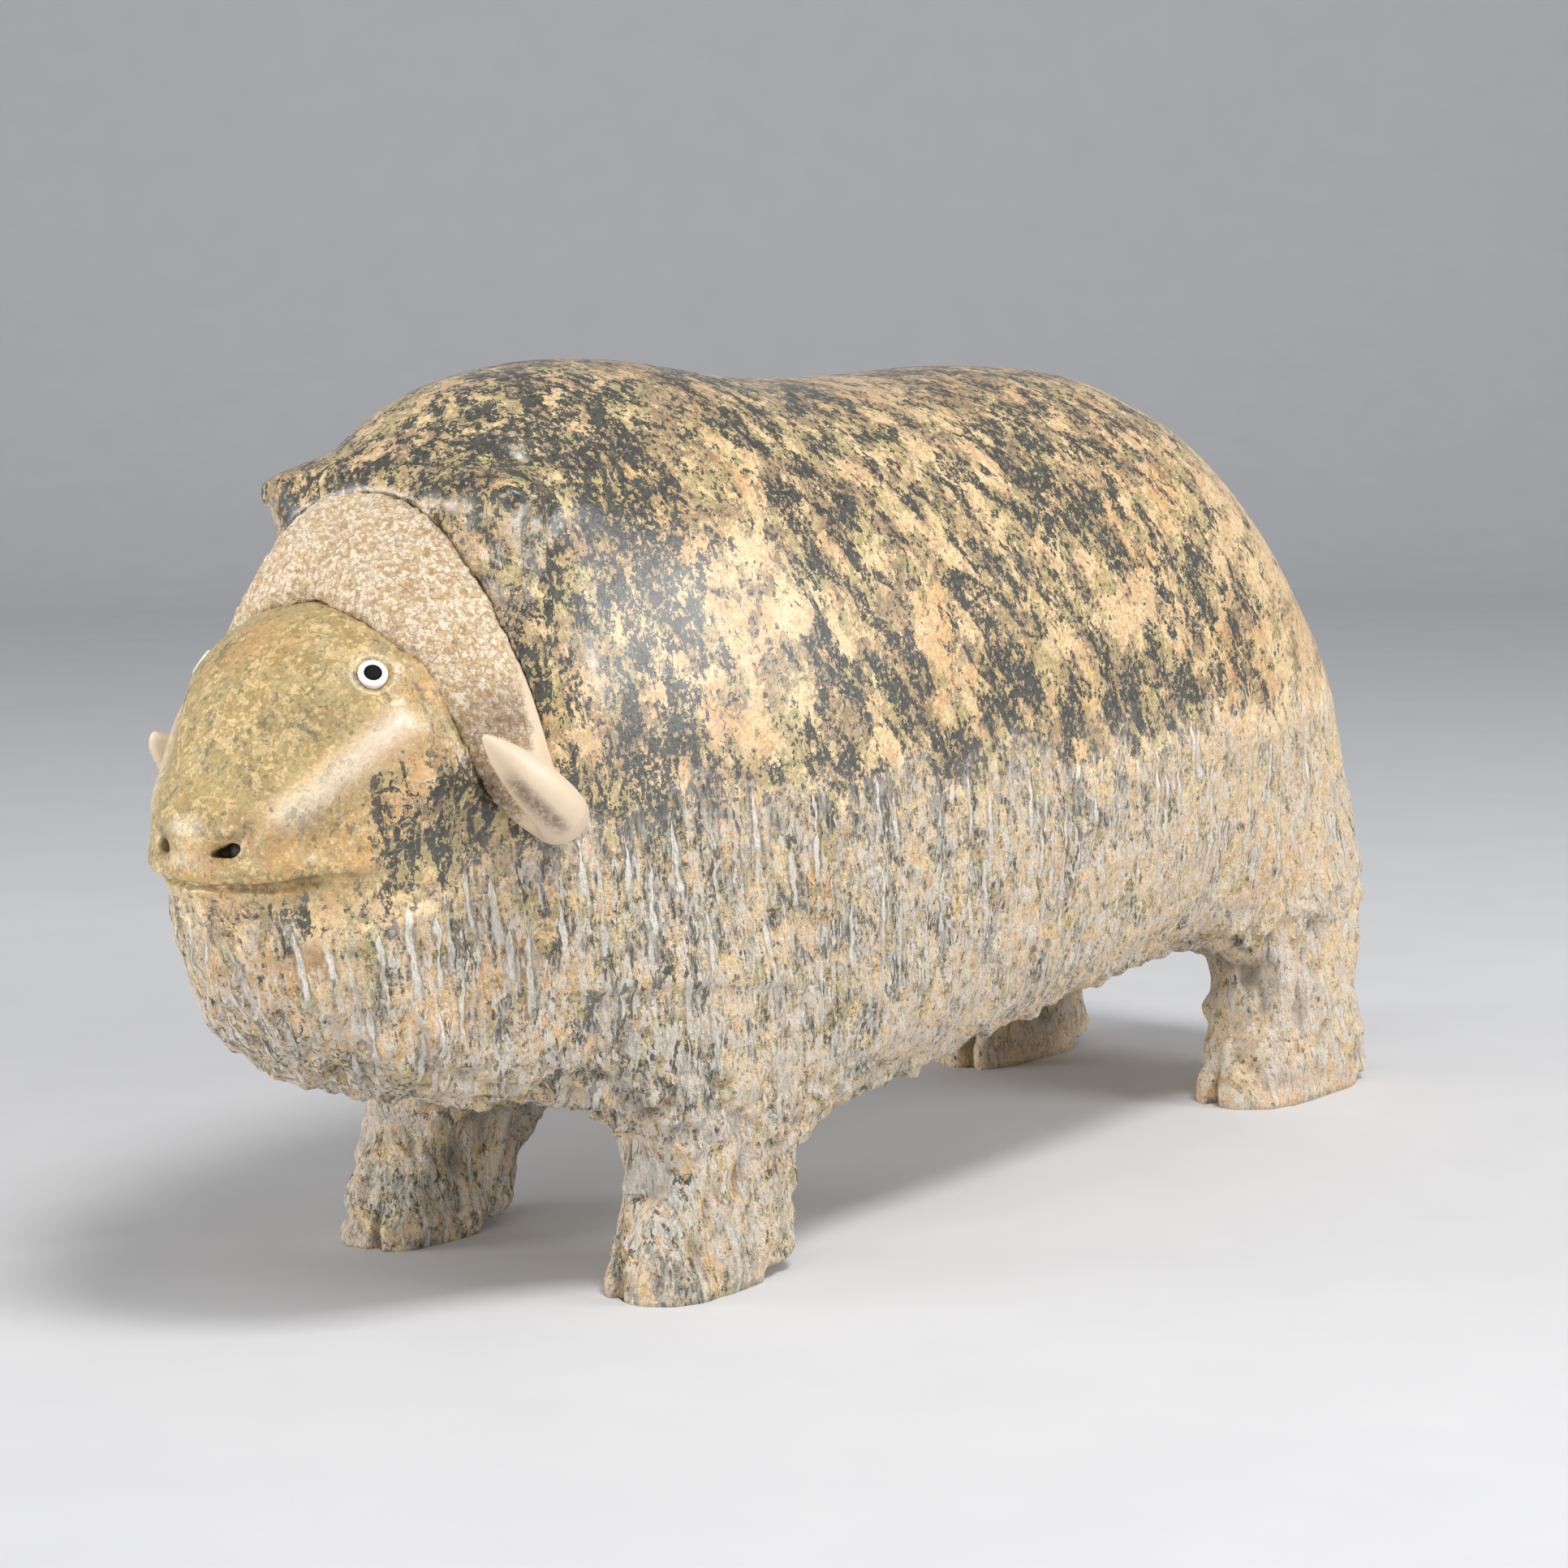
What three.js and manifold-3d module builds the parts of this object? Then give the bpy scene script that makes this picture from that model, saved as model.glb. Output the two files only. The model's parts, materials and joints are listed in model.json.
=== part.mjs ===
// Standing muskox carved from one block of mottled stone, with an antler horn saddle over the
// forehead and two eyes inlaid flush, each a white ring round a black pupil.
// Millimetres, +Z up, nose towards -Y, the animal's left side is +X, feet on z = 0.

import * as THREE from "three";
import { mergeVertices } from "three/addons/utils/BufferGeometryUtils.js";
import Module from "manifold-3d";

// Body outline, as stations along the length: [y, height or half-width].
const BACK_LINE = [
  [-118, 150], [-111, 157], [-92, 169.5], [-60, 173.6], [-18, 169], [20, 168.6],
  [77, 170.2], [104, 166], [126, 155], [146, 134], [163, 109], [174.5, 85], [182.5, 60],
];
const HEM_LINE = [
  [-160, 45], [-105, 41], [-60, 32], [-26, 27], [11, 28.5], [42, 33], [100, 38.5], [150, 45],
];
const FRONT_FLANK = [[-120, 31], [-110, 37], [-96, 42], [-70, 48], [-30, 53], [40, 55], [200, 55]];
const RUMP = { start: 60, length: 125, half: 55, power: 3.05 }; // plan rounding of the hindquarters
const WIDEST_Z = 92; // height of the widest level of the flanks
const TOP_POWER = 2.35; // rounding of the back
const SKIRT_POWER = 7; // squareness of the lower edge of the coat
const SKIRT_TUCK = 0.17; // how far the skirt draws in from the widest level to the hem
const LIP_Y = -117.5; // front of the mane, which hangs over the back edge of the horn saddle
const EAR = { x: 23, y: -108, z: 149, half: [10.5, 7.5, 5], hollow: [34, -118, 137.5], hollow_r: [8, 7, 7] };

// Head outline, as stations up the height: [z, front y] and [z, half-width].
const FACE_LINE = [
  [68, -152], [78, -156.5], [84, -161], [90, -163], [96, -161.8], [104, -157.8], [114, -152.5],
  [121, -147.5], [126, -141.5], [130, -135], [132.5, -127],
];
const FACE_HALF = [
  [68, 27], [84, 29], [92, 30], [100, 30.5], [114, 29.5], [121, 27.5], [127, 21], [130.5, 14], [132.5, 5],
];
const BEARD_LINE = [
  [42.5, -121], [45, -130], [48, -138], [54, -147], [62, -152.5], [76, -157.5], [85, -159.5],
];
const BEARD_HALF = [[42.5, 21], [48, 25], [54, 27.5], [76, 29.5], [85, 29.5]];
const HEAD_BACK_Y = -118; // where the head's plan curve is widest
const HEAD_POWER = 2.05;
const CHEEK = { x: 23, y: -130, z: 101, r: 9.5 };

// Horn saddle, centre to tip on one side: [x, y, z, half-width, half-thickness, lean of the outer face].
const HORN_RUN = [
  [0, -122.9, 140.8, 11.6, 4.4, [0, -0.77, 0.64]],
  [11, -123, 137.8, 11.8, 4.3, [0.33, -0.72, 0.61]],
  [20.2, -121.6, 130, 10.7, 4.0, [0.72, -0.5, 0.48]],
  [28, -119.2, 118.4, 9.0, 4.2, [0.93, -0.3, 0.22]],
  [32.6, -117.6, 107.6, 7.8, 4.4, [0.95, -0.25, 0.15]],
  [35.8, -115.8, 99.6, 6.2, 3.8, [0.9, -0.35, 0.25]],
  [39.4, -113.2, 94.6, 5.0, 3.5, [0.4, -0.6, 0.7]],
  [43.2, -114.2, 93.8, 4.8, 3.6, [-0.25, -0.55, 0.8]],
  [45, -119, 97.2, 4.6, 3.7, [-0.5, -0.5, 0.7]],
  [44.8, -124.8, 101.9, 4.0, 3.3, [-0.5, -0.5, 0.7]],
  [43.8, -129.8, 106.4, 2.7, 2.3, [-0.5, -0.5, 0.7]],
  [42.6, -134, 110.4, 0.5, 0.5, [-0.5, -0.5, 0.7]],
];
const HORN_CHANNEL = 0.4; // air left round the saddle in its channel
const RIGHT_TIP = { shift_y: 4.5, drop: 5 }; // the right horn ends a little lower and further back

// Legs: foot centre, top centre, half sizes across and along.
const LEGS = [
  { foot: [33, -66], top: [34, -58], foot_half: [12, 22], leg_half: [10.5, 16], height: 46 },
  { foot: [-36.5, -66], top: [-34, -54], foot_half: [11.5, 20.5], leg_half: [10.5, 16], height: 46 },
  { foot: [37, 150.5], top: [36.5, 150.5], foot_half: [13.5, 28.5], leg_half: [12.5, 20], height: 54 },
  { foot: [-40, 151.5], top: [-36, 149], foot_half: [12.5, 26], leg_half: [11.5, 19.5], height: 54 },
];
const HEEL_LENGTH = 13; // the heel lobe is raised off the ground behind a notch
const LEG_FLARE = 7.5; // how much longer each leg grows where it leaves the coat

// Eyes.
const EYE = { x: 21.2, y: -138, z: 120.6, ring_r: 2.6, pupil_r: 1.55, depth: 2.4 };
const EYE_GAP = 0.15;

// Nostrils and mouth.
const NOSTRIL = { x: 7.4, y: -161.4, z: 91.2, r: 2.3, slit_x: 13.5, slit_z: 97 };
const MOUTH = { z: 84.6, corner_x: 22, corner_rise: 1.4, half_height: 1.3, depth: 2.4 };

const wasm = await Module();
wasm.setup();

// A smooth curve through stations, flat beyond the last ones.
function through(stations) {
  const n = stations.length;
  const slope = stations.map((s, i) => {
    const a = stations[Math.max(0, i - 1)], b = stations[Math.min(n - 1, i + 1)];
    return (b[1] - a[1]) / (b[0] - a[0]);
  });
  return (u) => {
    if (u <= stations[0][0]) return stations[0][1];
    if (u >= stations[n - 1][0]) return stations[n - 1][1];
    let i = 0;
    while (u > stations[i + 1][0]) i++;
    const [u0, v0] = stations[i], [u1, v1] = stations[i + 1];
    const h = u1 - u0, t = (u - u0) / h, t2 = t * t, t3 = t2 * t;
    return v0 * (2 * t3 - 3 * t2 + 1) + slope[i] * h * (t3 - 2 * t2 + t)
      + v1 * (3 * t2 - 2 * t3) + slope[i + 1] * h * (t3 - t2);
  };
}

// Rounded joins and cuts of two distance-like fields, k is the width of the rounding.
function joined(a, b, k) {
  const h = Math.max(k - Math.abs(a - b), 0) / k;
  return Math.min(a, b) - h * h * k / 4;
}
const cut = (a, b, k) => -joined(-a, b, k);

function ellipsoid(x, y, z, cx, cy, cz, rx, ry, rz) {
  const r = Math.hypot((x - cx) / rx, (y - cy) / ry, (z - cz) / rz);
  return (r - 1) * Math.min(rx, ry, rz);
}

const back = through(BACK_LINE);
const hem = through(HEM_LINE);
const flank = through(FRONT_FLANK);

function torso(x, y, z) {
  let half = flank(y);
  if (y > RUMP.start) {
    const t = Math.min((y - RUMP.start) / RUMP.length, 0.9995);
    half = RUMP.half * (1 - t ** RUMP.power) ** (1 / RUMP.power);
  }
  const top = back(y), low = hem(y), mid = Math.min(WIDEST_Z, low + 0.62 * (top - low));
  const up = z > mid;
  const s = up ? (z - mid) / (top - mid) : (mid - z) / (mid - low);
  const p = up ? TOP_POWER : SKIRT_POWER;
  const width = up ? half : half * (1 - SKIRT_TUCK * Math.min(s, 1) ** 1.6);
  const r = ((Math.abs(x) / width) ** p + Math.abs(s) ** p) ** (1 / p);
  const side = (r - 1) * Math.min(half, 45);
  const rear = y - (RUMP.start + RUMP.length), fore = LIP_Y - y;
  return Math.max(side, rear, fore);
}

const faceFront = through(FACE_LINE), faceHalf = through(FACE_HALF);
const beardFront = through(BEARD_LINE), beardHalf = through(BEARD_HALF);

// A column whose slices are rounded in front and run straight back.
function column(x, y, front, half) {
  const s = Math.max(HEAD_BACK_Y - y, 0) / Math.max(HEAD_BACK_Y - front, 3);
  const r = ((Math.abs(x) / half) ** HEAD_POWER + s ** HEAD_POWER) ** (1 / HEAD_POWER);
  return (r - 1) * Math.min(half, 30);
}

function head(x, y, z) {
  const face = Math.max(column(x, y, faceFront(z), faceHalf(z)), z - 133, 68 - z, y + 110);
  const beard = Math.max(column(x, y, beardFront(z), beardHalf(z)), z - 88, 42.5 - z, y + 96);
  let d = joined(face, beard, 3);
  for (const side of [1, -1])
    d = joined(d, ellipsoid(x, y, z, side * CHEEK.x, CHEEK.y, CHEEK.z, CHEEK.r, CHEEK.r, CHEEK.r), 8);
  return d;
}

// A pointed corner of the mane behind each horn; the two are hollowed underneath in stone().
function ear(x, y, z) {
  return ellipsoid(Math.abs(x), y, z, EAR.x, EAR.y, EAR.z, ...EAR.half);
}

function leg(x, y, z, spec) {
  const t = Math.min(Math.max(z / spec.height, 0), 1);
  const cx = spec.foot[0] + (spec.top[0] - spec.foot[0]) * t;
  const cy = spec.foot[1] + (spec.top[1] - spec.foot[1]) * t;
  const lift = Math.min(Math.max(z / 22, 0), 1);
  const hx = spec.foot_half[0] + (spec.leg_half[0] - spec.foot_half[0]) * lift;
  const hy = spec.foot_half[1] + (spec.leg_half[1] - spec.foot_half[1]) * lift ** 1.5 + LEG_FLARE * t * t;
  const root = 1 - Math.min(Math.max((z - spec.height) / 45, 0), 0.9);
  const r = (Math.abs((x - cx) / hx) ** 3 + Math.abs((y - cy) / hy) ** 3) ** (1 / 3);
  return Math.max((r - root) * Math.min(hx, hy), z - spec.height - 40, -z - 8);
}

// The stone before the crisp cuts, negative inside.
function stone(x, y, z) {
  let d = joined(torso(x, y, z), head(x, y, z), 5);
  d = joined(d, ear(x, y, z), 5);
  d = cut(d, ellipsoid(Math.abs(x), y, z, ...EAR.hollow, ...EAR.hollow_r), 4);
  for (const spec of LEGS) d = joined(d, leg(x, y, z, spec), 14);
  return d;
}

// The twelve edges of a grid cell, and its six faces as loops of four edges with their corners.
const CORNERS = [...Array(8).keys()].map((c) => [c & 1, (c >> 1) & 1, c >> 2]);
const EDGES = [];
for (let a = 0; a < 8; a++)
  for (let axis = 0; axis < 3; axis++)
    if (!CORNERS[a][axis]) EDGES.push({ a, b: a | (1 << axis), axis });
const FACES = [];
for (let axis = 0; axis < 3; axis++)
  for (let side = 0; side < 2; side++) {
    const u = 1 << ((axis + 1) % 3), v = 1 << ((axis + 2) % 3), base = side << axis;
    const loop = [base, base | u, base | u | v, base | v];
    const joins = loop.map((c, i) => {
      const d = loop[(i + 1) % 4];
      return EDGES.findIndex((e) => e.a === Math.min(c, d) && e.b === Math.max(c, d));
    });
    FACES.push({ loop, joins });
  }

// Groups the crossed edges of a cell into the separate sheets that pass through it.
function sheetsOf(inside) {
  const sheet = EDGES.map((e, i) => (inside[e.a] !== inside[e.b] ? i : -1));
  const find = (i) => (sheet[i] === i ? i : find(sheet[i]));
  const link = (i, j) => { sheet[find(i)] = find(j); };
  for (const { loop, joins } of FACES) {
    const crossed = joins.filter((e) => inside[EDGES[e].a] !== inside[EDGES[e].b]);
    if (crossed.length === 2) link(...crossed);
    else if (crossed.length === 4)
      for (let i = 0; i < 4; i++) if (inside[loop[i]]) link(joins[i], joins[(i + 3) % 4]);
  }
  return sheet.map((v, i) => (v < 0 ? -1 : find(i)));
}

// A net over the zero level of a field: one point per sheet and cell of the grid, moved onto the level.
function netted(field, low, high, step) {
  const count = [0, 1, 2].map((k) => Math.ceil((high[k] - low[k]) / step) + 3);
  const at = (k, i) => low[k] + (i - 1) * step;
  const index = (i, j, k) => (k * count[1] + j) * count[0] + i;
  const value = new Float64Array(count[0] * count[1] * count[2]);
  for (let k = 0; k < count[2]; k++)
    for (let j = 0; j < count[1]; j++)
      for (let i = 0; i < count[0]; i++) {
        const rim = [i, j, k].some((v, m) => v === 0 || v === count[m] - 1);
        value[index(i, j, k)] = rim ? step : field(at(0, i), at(1, j), at(2, k)) || 1e-6;
      }
  const points = [], owner = new Map(), quads = [];
  const key = (i, j, k, e) => index(i, j, k) * 12 + e;
  for (let k = 0; k < count[2] - 1; k++)
    for (let j = 0; j < count[1] - 1; j++)
      for (let i = 0; i < count[0] - 1; i++) {
        const v = CORNERS.map(([a, b, c]) => value[index(i + a, j + b, k + c)]);
        const inside = v.map((d) => d < 0);
        if (inside.every(Boolean) || !inside.some(Boolean)) continue;
        const sums = new Map();
        sheetsOf(inside).forEach((s, e) => {
          if (s < 0) return;
          const { a, b, axis } = EDGES[e];
          const p = CORNERS[a].map((c, m) => c + (m === axis ? v[a] / (v[a] - v[b]) : 0));
          const sum = sums.get(s) ?? [0, 0, 0, 0, points.length + sums.size];
          p.forEach((c, m) => { sum[m] += c; });
          sum[3]++;
          sums.set(s, sum);
          owner.set(key(i, j, k, e), sum[4]);
        });
        for (const sum of sums.values())
          points.push(settled(field, [i, j, k].map((g, m) => at(m, g + sum[m] / sum[3])), step));
      }
  for (let k = 0; k < count[2] - 1; k++)
    for (let j = 0; j < count[1] - 1; j++)
      for (let i = 0; i < count[0] - 1; i++)
        for (let axis = 0; axis < 3; axis++) {
          const far = [i, j, k], u = (axis + 1) % 3, v = (axis + 2) % 3;
          if (!far[u] || !far[v]) continue;
          far[axis]++;
          const a = value[index(i, j, k)], b = value[index(...far)];
          if (a < 0 === b < 0) continue;
          const ring = [[0, 0], [1, 0], [1, 1], [0, 1]].map(([du, dv]) => {
            const q = [i, j, k];
            q[u] -= du;
            q[v] -= dv;
            const from = (du << u) | (dv << v);
            return owner.get(key(...q, EDGES.findIndex((e) => e.a === from && e.axis === axis)));
          });
          quads.push(a < 0 ? ring : ring.reverse());
        }
  return netGeometry(points, quads);
}

// Moves a point onto the zero level of a field, no further than the cell it belongs to.
function settled(field, p, step) {
  const q = [...p], h = 0.05;
  for (let n = 0; n < 4; n++) {
    const d = field(...q);
    const g = [0, 1, 2].map((k) => {
      const a = [...q], b = [...q];
      a[k] += h;
      b[k] -= h;
      return (field(...a) - field(...b)) / (2 * h);
    });
    const gg = g[0] ** 2 + g[1] ** 2 + g[2] ** 2;
    if (gg < 0.02) break;
    for (let k = 0; k < 3; k++) {
      q[k] -= (d * g[k]) / gg;
      q[k] = Math.min(Math.max(q[k], p[k] - 0.5 * step), p[k] + 0.5 * step);
    }
  }
  return q;
}

// Splits each quad along its shorter diagonal.
function netGeometry(points, quads) {
  const gap = (a, b) => Math.hypot(...[0, 1, 2].map((k) => points[a][k] - points[b][k]));
  const faces = [];
  for (const [a, b, c, d] of quads)
    if (gap(a, c) < gap(b, d)) faces.push(a, b, c, a, c, d);
    else faces.push(a, b, d, b, c, d);
  const geometry = new THREE.BufferGeometry();
  geometry.setAttribute("position", new THREE.Float32BufferAttribute(points.flat(), 3));
  geometry.setIndex(faces);
  geometry.userData.closed = true;
  return geometry;
}

// Between three.js geometry and solids that can be joined and cut.
function solid(geometry) {
  let m = geometry;
  if (!m.userData.closed) {
    const g = geometry.clone();
    g.deleteAttribute("normal");
    g.deleteAttribute("uv");
    m = mergeVertices(g, 1e-4);
  }
  return new wasm.Manifold(new wasm.Mesh({
    numProp: 3,
    vertProperties: new Float32Array(m.attributes.position.array),
    triVerts: new Uint32Array(m.index.array),
  }));
}

function geometryOf(made) {
  const mesh = made.getMesh();
  const geometry = new THREE.BufferGeometry();
  geometry.setAttribute("position", new THREE.BufferAttribute(new Float32Array(mesh.vertProperties), 3));
  geometry.setIndex(new THREE.BufferAttribute(new Uint32Array(mesh.triVerts), 1));
  return geometry;
}

function block(low, high) {
  const g = new THREE.BoxGeometry(high[0] - low[0], high[1] - low[1], high[2] - low[2]);
  return solid(g.translate((low[0] + high[0]) / 2, (low[1] + high[1]) / 2, (low[2] + high[2]) / 2));
}

// One zone of the stone: netted a little past its box, then cut to the box exactly.
function zone(low, high, step) {
  const margin = 2 * step;
  const net = solid(netted(stone, low.map((v) => v - margin), high.map((v) => v + margin), step));
  return net.intersect(block(low, high));
}

// A closed sweep of flat-oval slices; each slice is { at, across, out, half, thick }.
function sweep(slices, sides) {
  const points = [], faces = [];
  for (const s of slices)
    for (let i = 0; i < sides; i++) {
      const a = (2 * Math.PI * i) / sides;
      const p = s.at.clone()
        .addScaledVector(s.across, s.half * Math.cos(a))
        .addScaledVector(s.out, s.thick * Math.sin(a));
      points.push(p.x, p.y, p.z);
    }
  const n = slices.length;
  for (let j = 0; j < n - 1; j++)
    for (let i = 0; i < sides; i++) {
      const a = j * sides + i, b = j * sides + ((i + 1) % sides), c = a + sides, d = b + sides;
      faces.push(a, b, d, a, d, c);
    }
  for (const [end, flip] of [[0, true], [n - 1, false]]) {
    const hub = points.length / 3;
    points.push(...slices[end].at.toArray());
    for (let i = 0; i < sides; i++) {
      const a = end * sides + i, b = end * sides + ((i + 1) % sides);
      faces.push(...(flip ? [b, a, hub] : [a, b, hub]));
    }
  }
  const geometry = new THREE.BufferGeometry();
  geometry.setAttribute("position", new THREE.Float32BufferAttribute(points, 3));
  geometry.setIndex(faces);
  return geometry;
}

// The horn saddle from right tip over the forehead to left tip, grown by extra on every side.
function hornSaddle(extra, per_span, sides) {
  const rows = [];
  for (let i = HORN_RUN.length - 1; i > 0; i--) {
    const [x, y, z, b, t, n] = HORN_RUN[i];
    const end = (i / (HORN_RUN.length - 1)) ** 3;
    rows.push([-x, y + RIGHT_TIP.shift_y * end, z - RIGHT_TIP.drop * end, b, t, -n[0], n[1], n[2]]);
  }
  for (const [x, y, z, b, t, n] of HORN_RUN) rows.push([x, y, z, b, t, ...n]);
  const channels = rows[0].map((_, c) => through(rows.map((r, i) => [i, r[c]])));
  const total = rows.length - 1, steps = total * per_span;
  const point = (u) => new THREE.Vector3(channels[0](u), channels[1](u), channels[2](u));
  const slices = [];
  for (let i = 0; i <= steps; i++) {
    const u = (i / steps) * total;
    const along = point(Math.min(u + 0.05, total)).sub(point(Math.max(u - 0.05, 0))).normalize();
    const hint = new THREE.Vector3(channels[5](u), channels[6](u), channels[7](u));
    const across = new THREE.Vector3().crossVectors(hint, along).normalize();
    const out = new THREE.Vector3().crossVectors(along, across).normalize();
    const at = point(u);
    if (extra && (i === 0 || i === steps)) at.addScaledVector(along, i ? extra : -extra);
    slices.push({ at, across, out, half: channels[3](u) + extra, thick: channels[4](u) + extra });
  }
  return sweep(slices, sides);
}

// Outward direction of the stone's field at a point.
function outward(p) {
  const h = 0.2;
  const g = [0, 1, 2].map((k) => {
    const a = [...p], b = [...p];
    a[k] += h;
    b[k] -= h;
    return stone(...a) - stone(...b);
  });
  return new THREE.Vector3(...g).normalize();
}

// The spot of the stone's surface straight in from a starting point along -direction.
function onSurface(p, direction) {
  const q = new THREE.Vector3(...p).addScaledVector(direction, 12);
  for (let n = 0; n < 60; n++) {
    const d = stone(q.x, q.y, q.z);
    if (Math.abs(d) < 1e-3) break;
    q.addScaledVector(direction, -0.7 * d);
  }
  return q;
}

// A round bar or ring whose axis follows a direction, its outer face at the given spot.
function inlay(spot, direction, inner, outer, from, to) {
  const profile = inner > 0
    ? [[inner, from], [outer, from], [outer, to], [inner, to], [inner, from]]
    : [[0, from], [outer, from], [outer, to], [0, to]];
  const g = new THREE.LatheGeometry(profile.map(([r, h]) => new THREE.Vector2(r, h)), 18);
  const turn = new THREE.Quaternion().setFromUnitVectors(new THREE.Vector3(0, 1, 0), direction);
  return g.applyQuaternion(turn).translate(spot.x, spot.y, spot.z);
}

function eyeParts(side) {
  const from = [side * EYE.x, EYE.y, EYE.z];
  const direction = outward(from);
  const spot = onSurface(from, direction);
  return {
    socket: inlay(spot, direction, 0, EYE.ring_r + EYE_GAP, -EYE.depth - EYE_GAP, 6),
    ring: inlay(spot, direction, EYE.pupil_r + EYE_GAP / 2, EYE.ring_r, -EYE.depth, 0.25),
    pupil: inlay(spot, direction, 0, EYE.pupil_r - EYE_GAP / 2, -EYE.depth, 0.35),
  };
}

function nostrilCutters(side) {
  const from = [side * NOSTRIL.x, NOSTRIL.y, NOSTRIL.z];
  const direction = outward(from);
  const spot = onSurface(from, direction);
  const hole = new THREE.SphereGeometry(NOSTRIL.r, 12, 8).scale(1.15, 1.4, 0.85)
    .translate(spot.x, spot.y, spot.z);
  const slices = [];
  for (let i = 0; i <= 4; i++) {
    const t = i / 4;
    const reach = side * (NOSTRIL.x + (NOSTRIL.slit_x - NOSTRIL.x) * t);
    const rise = NOSTRIL.z + (NOSTRIL.slit_z - NOSTRIL.z) * t ** 1.3;
    const p = [reach, NOSTRIL.y + 4 * t, rise];
    const out = outward(p), at = onSurface(p, out);
    const along = new THREE.Vector3(side, 0.5, 0.7).normalize();
    const across = new THREE.Vector3().crossVectors(out, along).normalize();
    const grow = 1 - 0.75 * t;
    slices.push({ at, across: across.multiplyScalar(side), out, half: 1.5 * grow, thick: 1.9 * grow });
  }
  return [hole, sweep(side > 0 ? slices : slices.reverse(), 6)];
}

function mouthCutter() {
  const slices = [];
  for (let i = 0; i <= 14; i++) {
    const t = -1 + i / 7;
    const x = MOUTH.corner_x * t;
    const z = MOUTH.z + MOUTH.corner_rise * t * t;
    const p = [x, -150, z];
    const out = new THREE.Vector3(0.7 * t, -1, 0).normalize();
    const at = onSurface(p, out);
    const fade = 1 - 0.8 * Math.abs(t) ** 6;
    const across = new THREE.Vector3(0, 0, 1);
    slices.push({ at, across, out, half: MOUTH.half_height * fade, thick: MOUTH.depth * fade });
  }
  return sweep(slices, 4);
}

// The cleft between the two toes of a foot, the notch in front of its heel and the gap under the heel.
function footCutters(spec) {
  const [fx, fy] = spec.foot, side = Math.sign(fx), half = spec.foot_half[1];
  const cleft = new THREE.CylinderGeometry(1.1, 2.9, 21, 4).rotateX(Math.PI / 2 - 0.36)
    .translate(fx - 3.5 * side, fy - half + 3, 7.5);
  const notch_y = fy + half - HEEL_LENGTH;
  const notch = new THREE.CylinderGeometry(2.6, 2.6, 40, 6).rotateZ(Math.PI / 2).translate(fx, notch_y, 0);
  const heel = new THREE.BoxGeometry(40, 18, 8).rotateX(0.27).translate(fx, notch_y + 7, -1.7);
  return [cleft, notch, heel];
}

function carvedStone(eyes) {
  const muzzle_y = -131, split_y = -97, rump_y = 148, split_z = 26, seam = 0.4;
  const wide = 70, top = 180;
  let made = zone([-wide, -175, 0], [wide, muzzle_y, top], 4.8);
  made = made.add(zone([-wide, muzzle_y - seam, 0], [wide, split_y, top], 6.8));
  made = made.add(zone([-wide, split_y - seam, split_z], [wide, rump_y, top], 14));
  made = made.add(zone([-wide, rump_y - seam, split_z], [wide, 200, top], 8));
  made = made.add(zone([-wide, split_y - seam, 0], [wide, 10, split_z + seam], 8.5));
  made = made.add(zone([-wide, 90, 0], [wide, 200, split_z + seam], 8.5));
  const cutters = [mouthCutter(), ...nostrilCutters(1), ...nostrilCutters(-1), ...LEGS.flatMap(footCutters)];
  for (const cutter of cutters) made = made.subtract(solid(cutter));
  made = made.subtract(solid(hornSaddle(HORN_CHANNEL, 2, 12)));
  for (const eye of eyes) made = made.subtract(solid(eye.socket));
  return made;
}

function part(name, geometry, color, roughness) {
  const mesh = new THREE.Mesh(geometry, new THREE.MeshStandardMaterial({ color, roughness, metalness: 0 }));
  mesh.name = name;
  return mesh;
}

const eyes = { left: eyeParts(1), right: eyeParts(-1) };
const group = new THREE.Group();
group.name = "muskox_stone_carving";
group.add(part("stone_muskox", geometryOf(carvedStone([eyes.left, eyes.right])), 0xa99673, 0.45));
group.add(part("antler_horns", geometryOf(solid(hornSaddle(0, 2, 12))), 0xe6d6bd, 0.6));
for (const side of ["left", "right"]) {
  group.add(part(side + "_eye_ring", geometryOf(solid(eyes[side].ring)), 0xf1eee6, 0.35));
  group.add(part(side + "_eye_pupil", geometryOf(solid(eyes[side].pupil)), 0x0d0c0c, 0.25));
}

// The part's frame: middle of the bounding box in plan, soles on z = 0.
const bounds = new THREE.Box3().setFromObject(group);
const centre = bounds.getCenter(new THREE.Vector3());
for (const mesh of group.children) mesh.geometry.translate(-centre.x, -centre.y, -bounds.min.z);

export default group;
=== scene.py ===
"""Muskox stone carving: the visible surfaces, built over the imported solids.

The stone and the antler start from their own solids, which are remeshed finely, have their facets
eased and then get the carver's marks as real relief. The eye inlays are turned on their solids' axes.
Row frame: metres, +Z up, nose towards -Y, the animal's left side is +X. Shape rules are in millimetres.
"""

import json
import logging
import math
from dataclasses import dataclass, field
from enum import Enum
from typing import Any, Callable

import bmesh
import bpy
import numpy as np
from mathutils import Matrix, Vector
from mathutils.kdtree import KDTree

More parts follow.
